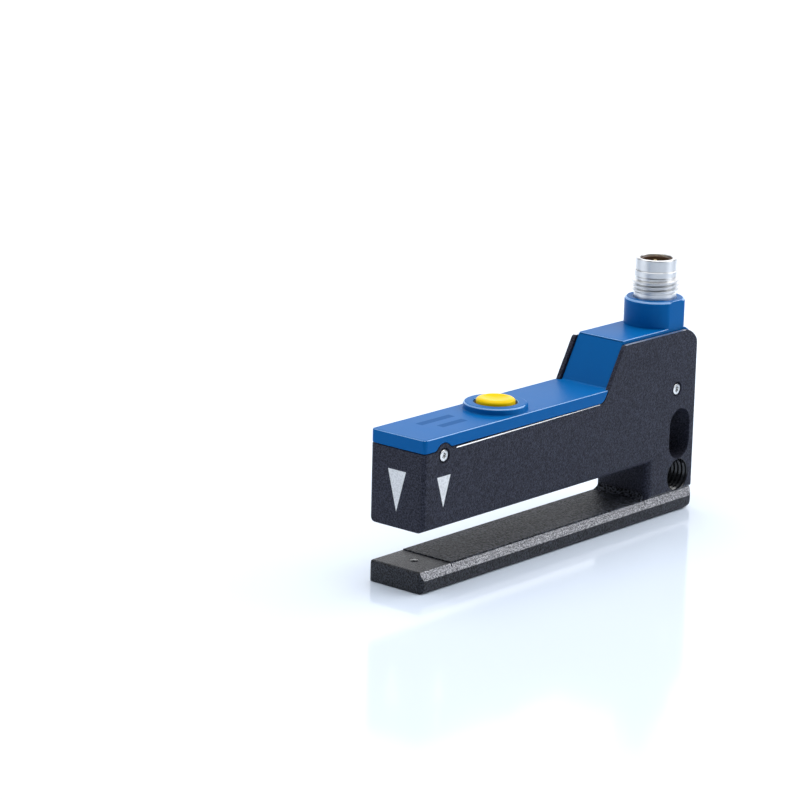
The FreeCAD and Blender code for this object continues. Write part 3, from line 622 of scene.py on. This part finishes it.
def floor_material():
    far_tint = (0.78, 0.86, 0.98, 1.0)
    material, graph, shader, place = new_material("studio_floor")
    patches = graph.noise(place, 1.5, detail=1.0)
    tint = graph.blend(patches, tuple(colours().floor), far_tint)
    graph.link(tint, shader.inputs["Base Color"])
    shader.inputs["Roughness"].default_value = 0.10
    shader.inputs["IOR"].default_value = 1.25
    return material


# Studio

PHOTO_WIDTH_PX = 800
CAMERA_FOCAL_PX = 3257.6
CAMERA_AZIMUTH = 40.867
CAMERA_ELEVATION = 14.429
CAMERA_ROLL = 1.358
CAMERA_TARGET = Vector((0.0, 33.0 * MM + TIP, 15.0 * MM))
CAMERA_DISTANCE = 530.88 * MM
CAMERA_RIGHT = -21.38 * MM
CAMERA_UP = 8.74 * MM

FLOOR_SIZE = 12.0
AIR_TINT = (0.80, 0.89, 1.0, 1.0)
AIR_STRENGTH = 0.10
WHITE_LIGHT = (1.0, 1.0, 1.0)
BACK_LIGHT = (0.97, 0.98, 1.0)
COOL_LIGHT = (0.95, 0.97, 1.0)

# Name, place, aim, width and depth, power, tint
STUDIO_LIGHTS = [
    ("light_top", (-0.1, 0.1, 1.1), (0.0, 0.0, 0.0), (1.4, 1.4), 15.8, WHITE_LIGHT),
    ("light_back", (-1.6, 1.9, 0.75), (0.0, 0.0, 0.05), (5.0, 1.6), 34.0, BACK_LIGHT),
    ("light_high", (0.40, 1.05, 0.90), (0.0, 0.0, 0.02), (1.0, 0.6), 7.0, WHITE_LIGHT),
    ("light_right", (0.62, 0.42, 0.30), (0.0, 0.02, 0.02), (0.5, 0.45), 1.6, COOL_LIGHT),
    ("light_left", (-0.75, -0.85, 0.42), (0.0, 0.0, 0.02), (0.9, 0.7), 2.9, COOL_LIGHT),
]


class FORKSENSOR_OT_stage(bpy.types.Operator):
    """Build the floor, the soft lights and the camera"""

    bl_idname = "forksensor.stage"
    bl_label = "Studio"

    def execute(self, context):
        deselect()
        bpy.ops.mesh.primitive_plane_add(size=FLOOR_SIZE)
        floor = name_piece(bpy.context.object, "studio_floor")
        floor.data.materials.append(floor_material())
        self.add_air(context)
        for light in STUDIO_LIGHTS:
            self.add_light(*light)
        self.add_camera(context)
        context.scene.view_settings.view_transform = "Standard"
        return {"FINISHED"}

    def add_air(self, context):
        world = bpy.data.worlds.new("studio_air")
        world.use_nodes = True
        background = world.node_tree.nodes["Background"]
        background.inputs["Color"].default_value = AIR_TINT
        background.inputs["Strength"].default_value = AIR_STRENGTH
        context.scene.world = world

    def add_light(self, name, place, aim, size, power, tint):
        deselect()
        bpy.ops.object.light_add(type="AREA", location=place)
        lamp = bpy.context.object
        lamp.name = name
        lamp.data.shape = "RECTANGLE"
        lamp.data.size, lamp.data.size_y = size
        lamp.data.energy = power
        lamp.data.color = tint
        lamp.rotation_euler = (Vector(aim) - Vector(place)).to_track_quat("-Z", "Y").to_euler()

    def add_camera(self, context):
        azimuth, elevation, roll = (
            math.radians(angle) for angle in (CAMERA_AZIMUTH, CAMERA_ELEVATION, CAMERA_ROLL))
        back = Vector((
            math.sin(azimuth) * math.cos(elevation), -math.cos(azimuth) * math.cos(elevation),
            math.sin(elevation)))
        right = Vector((math.cos(azimuth), math.sin(azimuth), 0))
        up = back.cross(right)
        place = CAMERA_TARGET + back * CAMERA_DISTANCE + right * CAMERA_RIGHT + up * CAMERA_UP
        turned_right = right * math.cos(roll) + up * math.sin(roll)
        turned_up = up * math.cos(roll) - right * math.sin(roll)
        deselect()
        bpy.ops.object.camera_add(location=place)
        camera = bpy.context.object
        camera.name = "studio_camera"
        camera.rotation_euler = Matrix((turned_right, turned_up, back)).transposed().to_euler()
        camera.data.sensor_width = 36.0
        camera.data.lens = CAMERA_FOCAL_PX / PHOTO_WIDTH_PX * camera.data.sensor_width
        camera.data.clip_start, camera.data.clip_end = 0.01, 100.0
        context.scene.camera = camera


# Colours of small and inner parts
# A lighter blue, painted on the cover's rounded upper edges as a highlight.
EDGE_HIGHLIGHT_BLUE = (0.24, 0.46, 0.82, 1.0)
FAINT_BLUE = (0.015, 0.105, 0.32, 1.0)
SEAL_BLACK = (0.012, 0.012, 0.013, 1.0)
PART_BLACK = (0.02, 0.02, 0.022, 1.0)
HOLE_BLACK = (0.012, 0.013, 0.016, 1.0)
CARRIER_BROWN = (0.10, 0.048, 0.024, 1.0)
BOARD_GREEN = (0.015, 0.11, 0.04, 1.0)
LEAD_AMBER = (0.42, 0.17, 0.02, 1.0)
PLUNGER_CREAM = (0.65, 0.60, 0.48, 1.0)
DIODE_CLEAR = (0.62, 0.63, 0.60, 1.0)
BARE_METAL = (0.86, 0.86, 0.88, 1.0)
SCREW_STEEL = (0.74, 0.74, 0.73, 1.0)
CLEAR_GLASS = (0.22, 0.23, 0.25, 1.0)
SMOKED_GLASS = (0.20, 0.03, 0.03, 1.0)


class FORKSENSOR_OT_finishes(bpy.types.Operator):
    """Build the shared node groups and every material"""

    bl_idname = "forksensor.finishes"
    bl_label = "Finishes"

    def execute(self, context):
        build_coat_grain()
        build_surface_haze()
        shades = colours()
        coat_material("housing_coat", shades.coat, contrast=0.85)
        # The leg and the plate get stronger painted glints and painted shade in their grain
        # speckle.
        coat_material("leg_coat", shades.leg, contrast=2.4, ior=1.33, gloss=0.30)
        coat_material(
            "plate_coat", shades.leg, contrast=4.6, ior=1.12, gloss=0.30, grain_scale=1.35)
        milled_material()
        moulded_material("cover_blue", shades.cover, 0.34, 0.44, ior=1.17)
        # A painted highlight on the cover's rounded upper edges.
        moulded_material("cover_edge_and_highlight", EDGE_HIGHLIGHT_BLUE, 0.30, 0.36, relief_strength=0.02, ior=1.5)
        moulded_material(
            "button_yellow", shades.button, 0.22, 0.30, relief_strength=0.04, ior=1.16)
        moulded_material("seal_black", SEAL_BLACK, 0.55, 0.7)
        moulded_material("carrier_brown", CARRIER_BROWN, 0.35, 0.5)
        moulded_material("part_black", PART_BLACK, 0.4, 0.55)
        moulded_material("board_green", BOARD_GREEN, 0.25, 0.35, relief_strength=0.05)
        moulded_material("lead_amber", LEAD_AMBER, 0.2, 0.3, relief_strength=0.03)
        moulded_material("plunger_cream", PLUNGER_CREAM, 0.3, 0.4)
        moulded_material("diode_clear", DIODE_CLEAR, 0.1, 0.2, relief_strength=0.02)
        moulded_material("print_faint", FAINT_BLUE, 0.50, 0.58, ior=1.14)
        metal_material("plating", shades.plating, 0.27, 0.38, lines=0.2)
        metal_material("bare_metal", BARE_METAL, 0.28, 0.45)
        moulded_material("hole_metal", HOLE_BLACK, 0.18, 0.26, relief_strength=0.05, ior=1.6)
        metal_material("gilding", shades.gilding, 0.28, 0.36)
        metal_material("screw_bright", SCREW_STEEL, 0.14, 0.24)
        print_material("print_white", shades.print_white)
        glass_material("lens_clear", CLEAR_GLASS)
        glass_material("lens_smoke", SMOKED_GLASS)
        return {"FINISHED"}


# Housing

HOUSING_COAT, HOUSING_PRINT, HOUSING_HOLE, HOUSING_BARE = range(4)
FRONT_MARK_HEIGHTS = (19.2 * MM, 12.5 * MM)
SIDE_MARK_HEIGHTS = (18.45 * MM, 13.4 * MM)
BEAM_Y = TIP + 4.7 * MM
HOLE_Y = BOX_HIGH.y - 4.4 * MM
HOLE_Z = 6.45 * MM
HOLE_RADIUS = 2.46 * MM
HOLE_MOUTH = 2.9 * MM
HOLE_MATCH = 0.02 * MM
HOLE_LIP = 0.1 * MM
HOLE_THREAD_PLAY = 0.03 * MM
HOLE_THREAD_ENDS = 1.2 * MM
HOLE_CREST = 0.12 * MM
SKIRT_EDGE = 22.3 * MM
WALL_EDGE = 26.0 * MM
LUG_REACH = 1.6 * MM
SHORT_EDGE = 1.5 * MM


class FORKSENSOR_OT_housing(bpy.types.Operator):
    """Dress the cast housing: softened edges, beam marks and the thread of the side hole"""

    bl_idname = "forksensor.housing"
    bl_label = "Housing"

    def execute(self, context):
        housing = merged_copy(
            "fork_housing", "housing_casting",
            "housing_coat", "print_white", "hole_metal", "bare_metal")
        self.open_hole(housing)
        self.print_marks(housing)
        trim_edges(
            housing, sizes().bare_ledge,
            lambda edge: self.is_trimmed(edge) and self.height(edge) < WALL_EDGE,
            HOUSING_BARE, segments=3)
        self.coat_ledge_sides(housing)
        trim_edges(
            housing, sizes().bare_edge,
            lambda edge: self.is_trimmed(edge) and self.height(edge) > WALL_EDGE,
            HOUSING_BARE, segments=1)
        soften(housing, sizes().edge_bevel, angle=34)
        self.darken_hole(housing)
        smooth(housing)
        seat(housing, HOUSING_BODY, "housing_black", "fork_housing")
        self.add_thread()
        return {"FINISHED"}

    def open_hole(self, housing):
        """Widens the plain bore to the thread's root, which the ridge fills back to the bore."""
        activate(housing)
        bpy.ops.object.mode_set(mode="EDIT")
        pick(housing, "VERT", lambda vert: (
            abs(math.hypot(vert.co.y - HOLE_Y, vert.co.z - HOLE_Z) - HOLE_RADIUS) < HOLE_MATCH
            and abs(vert.co.x) < SIDE - HOLE_LIP))
        scale = (HOLE_RADIUS + sizes().hole_depth) / HOLE_RADIUS
        bpy.ops.transform.resize(value=(1, scale, scale), center_override=(0, HOLE_Y, HOLE_Z))
        bpy.ops.object.mode_set(mode="OBJECT")

    def print_marks(self, housing):
        """A white triangle on the tip and one on the right side, which point at the beam."""
        half = sizes().front_mark_width / 2
        top, tip = FRONT_MARK_HEIGHTS
        add_patch(
            housing,
            [Vector((-half, TIP, top)), Vector((half, TIP, top)), Vector((0, TIP, tip))],
            Vector((0, -1, 0)), HOUSING_PRINT)
        half = sizes().side_mark_width / 2
        top, tip = SIDE_MARK_HEIGHTS
        add_patch(
            housing,
            [Vector((SIDE, BEAM_Y - half, top)), Vector((SIDE, BEAM_Y + half, top)),
             Vector((SIDE, BEAM_Y, tip))],
            Vector((1, 0, 0)), HOUSING_PRINT)

    def is_trimmed(self, edge):
        """The upper outer edges of the side walls and of the ledge under the cover's skirt."""
        first, second = (vert.co for vert in edge.verts)
        run = second - first
        middle = (first + second) / 2
        return (abs(abs(first.x) - SIDE) < ON_PLANE and abs(abs(second.x) - SIDE) < ON_PLANE
                and run.length > SHORT_EDGE and abs(run.y) > 0.9 * run.length
                and middle.z > SKIRT_EDGE and middle.y > BEAM_Y + LUG_REACH)

    def height(self, edge):
        return (edge.verts[0].co.z + edge.verts[1].co.z) / 2

    def coat_ledge_sides(self, housing):
        """Only the middle of the rounded ledge stays bare."""
        for face in housing.data.polygons:
            if face.material_index == HOUSING_BARE and not 0.6 < face.normal.z < 0.8:
                face.material_index = HOUSING_COAT

    def darken_hole(self, housing):
        """The tapped hole and its mouth are cut through the coat."""
        for face in housing.data.polygons:
            reach = math.hypot(face.center.y - HOLE_Y, face.center.z - HOLE_Z)
            if reach < HOLE_MOUTH and abs(face.normal.x) < 0.98:
                face.material_index = HOUSING_HOLE

    def add_thread(self):
        root = HOLE_RADIUS + sizes().hole_depth + HOLE_THREAD_PLAY
        length = 2 * SIDE - HOLE_THREAD_ENDS
        turns = length / sizes().hole_pitch
        ridge = thread_ridge(
            "side_hole_thread", root, HOLE_RADIUS, sizes().hole_pitch, HOLE_CREST, -length / 2,
            turns, steps_per_turn=48, run_out=10)
        lay = Matrix.Rotation(math.pi / 2, 4, "Y")
        set_place(ridge, Matrix.Translation((0, HOLE_Y, HOLE_Z)) @ lay)
        activate(ridge)
        bpy.ops.object.shade_smooth_by_angle(angle=math.radians(30))
        seat(coat(ridge, "hole_metal"), HOUSING_BODY, "housing_black")


# Lower leg

LEG_BARE = 1
PLATE_TOP = 3.47 * MM
NOSE_LENGTH = 2 * MM


class FORKSENSOR_OT_leg(bpy.types.Operator):
    """Dress the lower leg, its milled bevels and its cover plate"""

    bl_idname = "forksensor.leg"
    bl_label = "Lower leg"

    def execute(self, context):
        leg = merged_copy("lower_arm", "leg_casting", "leg_coat", "milled_bevel")
        self.mill(leg)
        soften(leg, sizes().edge_bevel * 0.8)
        smooth(leg)
        seat(leg, HOUSING_BODY, "leg_black", "lower_arm")
        plate = merged_copy("arm_cover_plate", "leg_plate", "plate_coat", "milled_bevel")
        activate(plate)
        bpy.ops.object.mode_set(mode="EDIT")
        bpy.ops.mesh.select_all(action="SELECT")
        bpy.ops.mesh.bisect(plane_co=(0, 0, PLATE_TOP), plane_no=(0, 0, 1))
        bpy.ops.object.mode_set(mode="OBJECT")
        self.mill(plate)
        soften(plate, sizes().edge_bevel * 0.3, segments=1, angle=60)
        smooth(plate)
        seat(plate, HOUSING_BODY, "plate_black", "arm_cover_plate")
        return {"FINISHED"}

    def mill(self, piece):
        """The straight bevels along both sides are bare metal, up to the top of the leg."""
        for face in piece.data.polygons:
            is_bevel = 0.3 < face.normal.z < 0.5 and abs(face.normal.x) > 0.92
            if is_bevel and face.center.z < PLATE_TOP and face.center.y > TIP + NOSE_LENGTH:
                face.material_index = LEG_BARE


LENS_RADIUS = 0.75 * MM
LENS_LIP = 0.35 * MM
LENS_DOME = 0.16 * MM
LENS_STEPS = 10


class FORKSENSOR_OT_lens(bpy.types.Operator):
    """Model the small domed lens in the tip of the lower leg"""

    bl_idname = "forksensor.lens"
    bl_label = "Lens"

    def execute(self, context):
        low, high = (Vector(corner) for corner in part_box("emitter_lens"))
        lip = (high.x - low.x) / 2
        rings = [(lip, low.z), (lip, low.z + LENS_LIP), (LENS_RADIUS, low.z + LENS_LIP)]
        for i in range(LENS_STEPS):
            angle = math.pi / 2 * i / LENS_STEPS
            rings.append((
                LENS_RADIUS * math.cos(angle), high.z - LENS_DOME + LENS_DOME * math.sin(angle)))
        lens = turned("leg_lens", middle_of(low, high), rings, segments=64)
        smooth(lens)
        seat(coat(lens, "lens_clear"), HOUSING_BODY, "lens_clear", "emitter_lens")
        return {"FINISHED"}


# Cover

COVER_PLASTIC, COVER_PRINT, COVER_EDGE_HIGHLIGHT = range(3)
ARM_TOP = 24.9 * MM
REAR_TOP = 32.3 * MM
FOOT_HEIGHT = 0.3 * MM
SKIRT_FOOT = 1.5 * MM
EDGE_HIGHLIGHT_AREA = 8 * MM ** 2
BOSS_Y = 29.9 * MM
BOSS_FOOT = 5.16 * MM
BOSS_FOOT_HEIGHTS = (REAR_TOP - 3 * MM, REAR_TOP + 0.05 * MM)
# Left and right end, nearer and farther end from the tip
PRINTED_BARS = [
    (-2.5 * MM, -1.1 * MM, 7.0 * MM, 15.0 * MM),
    (0.6 * MM, 2.0 * MM, 8.5 * MM, 14.5 * MM),
]


class FORKSENSOR_OT_cover(bpy.types.Operator):
    """Dress the moulded cover and its two faint printed bars"""

    bl_idname = "forksensor.cover"
    bl_label = "Top cover"

    def execute(self, context):
        cover = merged_copy(
            "top_cover", "cover_moulding", "cover_blue", "print_faint", "cover_edge_and_highlight")
        for left, right, near, far in PRINTED_BARS:
            corners = [Vector((x, TIP + y, ARM_TOP))
                       for x, y in ((left, near), (right, near), (right, far), (left, far))]
            add_patch(cover, corners, Vector((0, 0, 1)), COVER_PRINT)
        self.soften_away_from_boss(cover)
        # The rounded upper edges take the lighter blue of a painted highlight.
        for face in cover.data.polygons:
            if self.takes_edge_highlight(face):
                face.material_index = COVER_EDGE_HIGHLIGHT
        smooth(cover)
        seat(cover, HOUSING_BODY, "cover_blue", "top_cover")
        return {"FINISHED"}

    def soften_away_from_boss(self, cover):
        """Rounds the edges, but not the crease at the boss's foot, whose arcs are too short."""
        mesh = bmesh.new()
        mesh.from_mesh(cover.data)
        weight = mesh.edges.layers.float.new("bevel_weight_edge")
        for edge in mesh.edges:
            is_sharp = edge.calc_face_angle(0.0) > math.radians(SHARP_ANGLE)
            if is_sharp and not self.is_boss_foot(edge):
                edge[weight] = 1.0
        mesh.to_mesh(cover.data)
        mesh.free()
        round_edges(cover, sizes().cover_edge_and_highlight, 3, limit_method="WEIGHT")

    def is_boss_foot(self, edge):
        low, high = BOSS_FOOT_HEIGHTS
        return all(
            math.hypot(vert.co.x, vert.co.y - BOSS_Y) < BOSS_FOOT and low < vert.co.z < high
            for vert in edge.verts)

    def takes_edge_highlight(self, face):
        """The rounded upper edges get a painted highlight in a lighter blue, but not the feet of
        steps and the back.
        """
        for level in (ARM_TOP, REAR_TOP):
            if level < face.center.z < level + FOOT_HEIGHT:
                return False
        if face.normal.y > 0.2 and face.center.z < REAR_TOP:
            return False
        return (0.55 < face.normal.z < 0.85 and face.area < EDGE_HIGHLIGHT_AREA
                and face.center.z > COVER_LOW.z + SKIRT_FOOT)


# Button

def button_profile():
    """Radius and height from the top, in millimetres, from the stem's foot to the dish."""
    rings = [(1.0, -6.6), (1.0, -3.6), (3.6, -3.6), (3.6, -2.8), (3.2, -2.8)]
    cap_radius, edge, slope, edge_steps = 3.2, 0.55, 0.85, 8
    for i in range(edge_steps + 1):
        angle = math.radians(90 * i / edge_steps)
        rings.append((cap_radius - slope + slope * math.cos(angle), -edge + edge * math.sin(angle)))
    dish_radius, dish_depth, dish_steps, lip = 2.15, 0.32, 12, 0.1
    rings.append((dish_radius + lip, 0.0))
    curve = (dish_radius ** 2 + dish_depth ** 2) / (2 * dish_depth)
    for i in range(dish_steps):
        radius = dish_radius * (1 - i / dish_steps)
        rings.append((radius, -dish_depth + curve - math.sqrt(curve ** 2 - radius ** 2)))
    return rings


BUTTON_RINGS = button_profile()
SEAL_BORE = 3.28 * MM
SEAL_CROWN = 0.08 * MM


class FORKSENSOR_OT_button(bpy.types.Operator):
    """Model the dished push button and the black ring round it"""

    bl_idname = "forksensor.button"
    bl_label = "Push button"

    def execute(self, context):
        centre = middle_of(BUTTON_LOW, BUTTON_HIGH)
        rings = [(radius * MM, BUTTON_HIGH.z + drop * MM) for radius, drop in BUTTON_RINGS]
        button = turned("button_cap", centre, rings, segments=128)
        smooth(button, angle=50)
        seat(coat(button, "button_yellow"), BUTTON_BODY, "button_yellow", "teach_button")
        low, high = SEAL_LOW.z, SEAL_HIGH.z
        inner, outer = SEAL_BORE, (SEAL_HIGH.x - SEAL_LOW.x) / 2
        seal = turned("button_ring", centre, [
            (inner, low), (outer, low), (outer, high - SEAL_CROWN), (outer - SEAL_CROWN, high),
            (inner + SEAL_CROWN, high), (inner, high - SEAL_CROWN), (inner, low)], hollow=True)
        smooth(seal)
        seat(coat(seal, "seal_black"), HOUSING_BODY, "seal_black", "button_seal")
        return {"FINISHED"}


# Plug

# Radius and height in millimetres: up the outside from the stem, and down the socket
SHELL_RINGS = [
    (2.2, 28.6), (2.95, 28.6), (2.95, 34.2), (3.6, 34.2), (3.6, 34.9), (3.0, 34.9), (3.0, 35.9),
    (3.6, 35.9), (3.6, 37.72), (3.52, 37.80), (3.42, 37.84), (3.42, 40.35), (3.5, 40.5),
    (3.55, 40.6), (3.55, 41.47), (3.50, 41.52), (3.35, 41.54), (3.35, 41.63), (3.42, 41.66),
    (3.45, 41.70), (3.45, 43.42), (3.40, 43.54), (3.28, 43.6), (2.9, 43.6), (2.80, 43.56),
    (2.75, 43.48), (2.75, 37.2), (2.2, 37.2), (2.2, 28.6),
]
THREAD_CORE = 3.42 * MM
THREAD_SINK = 0.06 * MM
THREAD_CREST = 4.0 * MM
THREAD_START = 37.93 * MM
THREAD_TURN_DEG = 131.0
THREAD_TURNS = 3.2
INSERT_BEVEL = 0.05 * MM


class FORKSENSOR_OT_plug(bpy.types.Operator):
    """Model the plated plug shell with its thread, and dress its insert"""

    bl_idname = "forksensor.plug"
    bl_label = "Plug connector"

    def execute(self, context):
        centre = middle_of(SHELL_LOW, SHELL_HIGH)
        rings = [(radius * MM, height * MM) for radius, height in SHELL_RINGS]
        shell = turned("plug_shell", centre, rings, segments=128, hollow=True)
        ridge = thread_ridge(
            "plug_thread", THREAD_CORE - THREAD_SINK, THREAD_CREST, sizes().plug_pitch,
            sizes().plug_crest, THREAD_START, THREAD_TURNS, steps_per_turn=96, run_out=14)
        turn = Matrix.Rotation(math.radians(THREAD_TURN_DEG), 4, "Z")
        set_place(ridge, Matrix.Translation((centre[0], centre[1], 0)) @ turn)
        join(shell, ridge)
        smooth(shell, angle=20)
        seat(coat(shell, "plating"), HOUSING_BODY, "nickel", "connector_shell")
        insert = merged_copy("contact_carrier", "plug_insert", "carrier_brown")
        soften(insert, INSERT_BEVEL, segments=1)
        smooth(insert)
        seat(insert, HOUSING_BODY, "carrier_brown", "contact_carrier")
        return {"FINISHED"}


# Screws: node and piece
COVER_SCREWS = [
    ("front_cover_screw", "cover_screw_front"), ("rear_cover_screw", "cover_screw_rear")]
FOOT_SCREWS = [("foot_screw_left", "leg_screw_left"), ("foot_screw_right", "leg_screw_right")]
# Shares of the head's height and radius
HEAD_EDGE_SHARE = 0.35
RECESS_DEPTH_SHARE = 0.75
RECESS_SHARE = 0.56
RECESS_TAPER = 0.92
LOBE_SHARE = 0.74


class FORKSENSOR_OT_screws(bpy.types.Operator):
    """Model the small screws with their recesses"""

    bl_idname = "forksensor.screws"
    bl_label = "Screws"

    def execute(self, context):
        from_left, from_top = Matrix.Rotation(math.pi / 2, 4, "Y"), Matrix.Rotation(math.pi, 4, "X")
        for node, name in COVER_SCREWS:
            low, high = (Vector(corner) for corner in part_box(node))
            middle = (low + high) / 2
            screw = self.model(
                name, shank=0.5 * MM, head=0.95 * MM, length=high.x - low.x, head_height=0.4 * MM)
            set_place(screw, Matrix.Translation((low.x, middle.y, middle.z)) @ from_left)
            self.finish_screw(screw, node)
        for node, name in FOOT_SCREWS:
            low, high = (Vector(corner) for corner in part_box(node))
            middle = (low + high) / 2
            screw = self.model(
                name, shank=0.8 * MM, head=1.5 * MM, length=high.z - low.z, head_height=1.0 * MM)
            set_place(screw, Matrix.Translation((middle.x, middle.y, high.z)) @ from_top)
            self.finish_screw(screw, node)
        return {"FINISHED"}

    def model(self, name, shank, head, length, head_height):
        """An upright screw on the origin with a six-lobed recess in a softly domed head."""
        shank_length = length - head_height
        top = shank_length + head_height
        edge = head_height * HEAD_EDGE_SHARE
        recess = head * RECESS_SHARE
        recess_floor = recess * RECESS_TAPER
        depth = head_height * RECESS_DEPTH_SHARE
        screw = turned(name, (0, 0), [
            (shank * 0.5, 0.0), (shank, shank * 0.5), (shank, shank_length), (head, shank_length),
            (head, top - edge), (head - edge * 0.3, top - edge * 0.3), (head - edge, top),
            (recess, top), (recess_floor, top - depth)], segments=72)
        bpy.ops.object.mode_set(mode="EDIT")
        pick(screw, "VERT", lambda vert: (
            vert.co.z > top - depth * 1.2 and vert.co.xy.length < recess * 1.02
            and math.cos(6 * math.atan2(vert.co.y, vert.co.x)) < -0.2))
        bpy.ops.transform.resize(value=(LOBE_SHARE, LOBE_SHARE, 1), center_override=(0, 0, top))
        bpy.ops.object.mode_set(mode="OBJECT")
        return screw

    def finish_screw(self, screw, node):
        smooth(screw, angle=34)
        seat(coat(screw, "screw_bright"), HOUSING_BODY, "screw_steel", node)


# Solids that are shown as they are

NODE_FINISHES = {
    "cover_gasket": "seal_black",
    "connector_seal_ring": "seal_black",
    "connector_nut": "plating",
    "contact_pin_1": "gilding",
    "contact_pin_2": "gilding",
    "contact_pin_3": "gilding",
    "contact_pin_4": "gilding",
    "connector_board": "board_green",
    "connector_lead": "lead_amber",
    "main_board": "board_green",
    "controller_chip": "part_black",
    "teach_switch": "part_black",
    "switch_plunger": "plunger_cream",
    "receiver_lens": "lens_smoke",
    "receiver_holder": "part_black",
    "receiver_diode": "diode_clear",
    "receiver_board": "board_green",
    "board_link": "part_black",
    "emitter_diode": "diode_clear",
    "emitter_board": "board_green",
    "flex_lead": "lead_amber",
}


class FORKSENSOR_OT_insides(bpy.types.Operator):
    """Give the remaining solids, most of them inside, their materials"""

    bl_idname = "forksensor.insides"
    bl_label = "Inner parts"

    def execute(self, context):
        for node, material in NODE_FINISHES.items():
            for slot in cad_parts[node].material_slots:
                slot.material = material_of(material)
        return {"FINISHED"}


class FORKSENSOR_PT_panel(bpy.types.Panel):
    """Lists the sizes, the colours and the steps"""

    bl_idname = "FORKSENSOR_PT_panel"
    bl_label = "Fork sensor"
    bl_space_type = "VIEW_3D"
    bl_region_type = "UI"
    bl_category = "Fork sensor"

    def draw(self, context):
        for settings in (context.scene.fork_sensor_sizes, context.scene.fork_sensor_colours):
            box = self.layout.box()
            for key in settings.__annotations__:
                box.prop(settings, key)
        for operator in OPERATORS:
            self.layout.operator(operator.bl_idname)


OPERATORS = (
    FORKSENSOR_OT_stage,
    FORKSENSOR_OT_finishes,
    FORKSENSOR_OT_housing,
    FORKSENSOR_OT_leg,
    FORKSENSOR_OT_lens,
    FORKSENSOR_OT_cover,
    FORKSENSOR_OT_button,
    FORKSENSOR_OT_plug,
    FORKSENSOR_OT_screws,
    FORKSENSOR_OT_insides,
)
CLASSES = (ForkSensorSizes, ForkSensorColours) + OPERATORS + (FORKSENSOR_PT_panel,)


def register():
    for cls in CLASSES:
        bpy.utils.register_class(cls)
    bpy.types.Scene.fork_sensor_sizes = PointerProperty(type=ForkSensorSizes)
    bpy.types.Scene.fork_sensor_colours = PointerProperty(type=ForkSensorColours)


def unregister():
    del bpy.types.Scene.fork_sensor_colours
    del bpy.types.Scene.fork_sensor_sizes
    for cls in reversed(CLASSES):
        bpy.utils.unregister_class(cls)


def main():
    register()
    bpy.ops.forksensor.stage()
    bpy.ops.forksensor.finishes()
    bpy.ops.forksensor.housing()
    bpy.ops.forksensor.leg()
    bpy.ops.forksensor.lens()
    bpy.ops.forksensor.cover()
    bpy.ops.forksensor.button()
    bpy.ops.forksensor.plug()
    bpy.ops.forksensor.screws()
    bpy.ops.forksensor.insides()


if __name__ == "__main__":
    main()
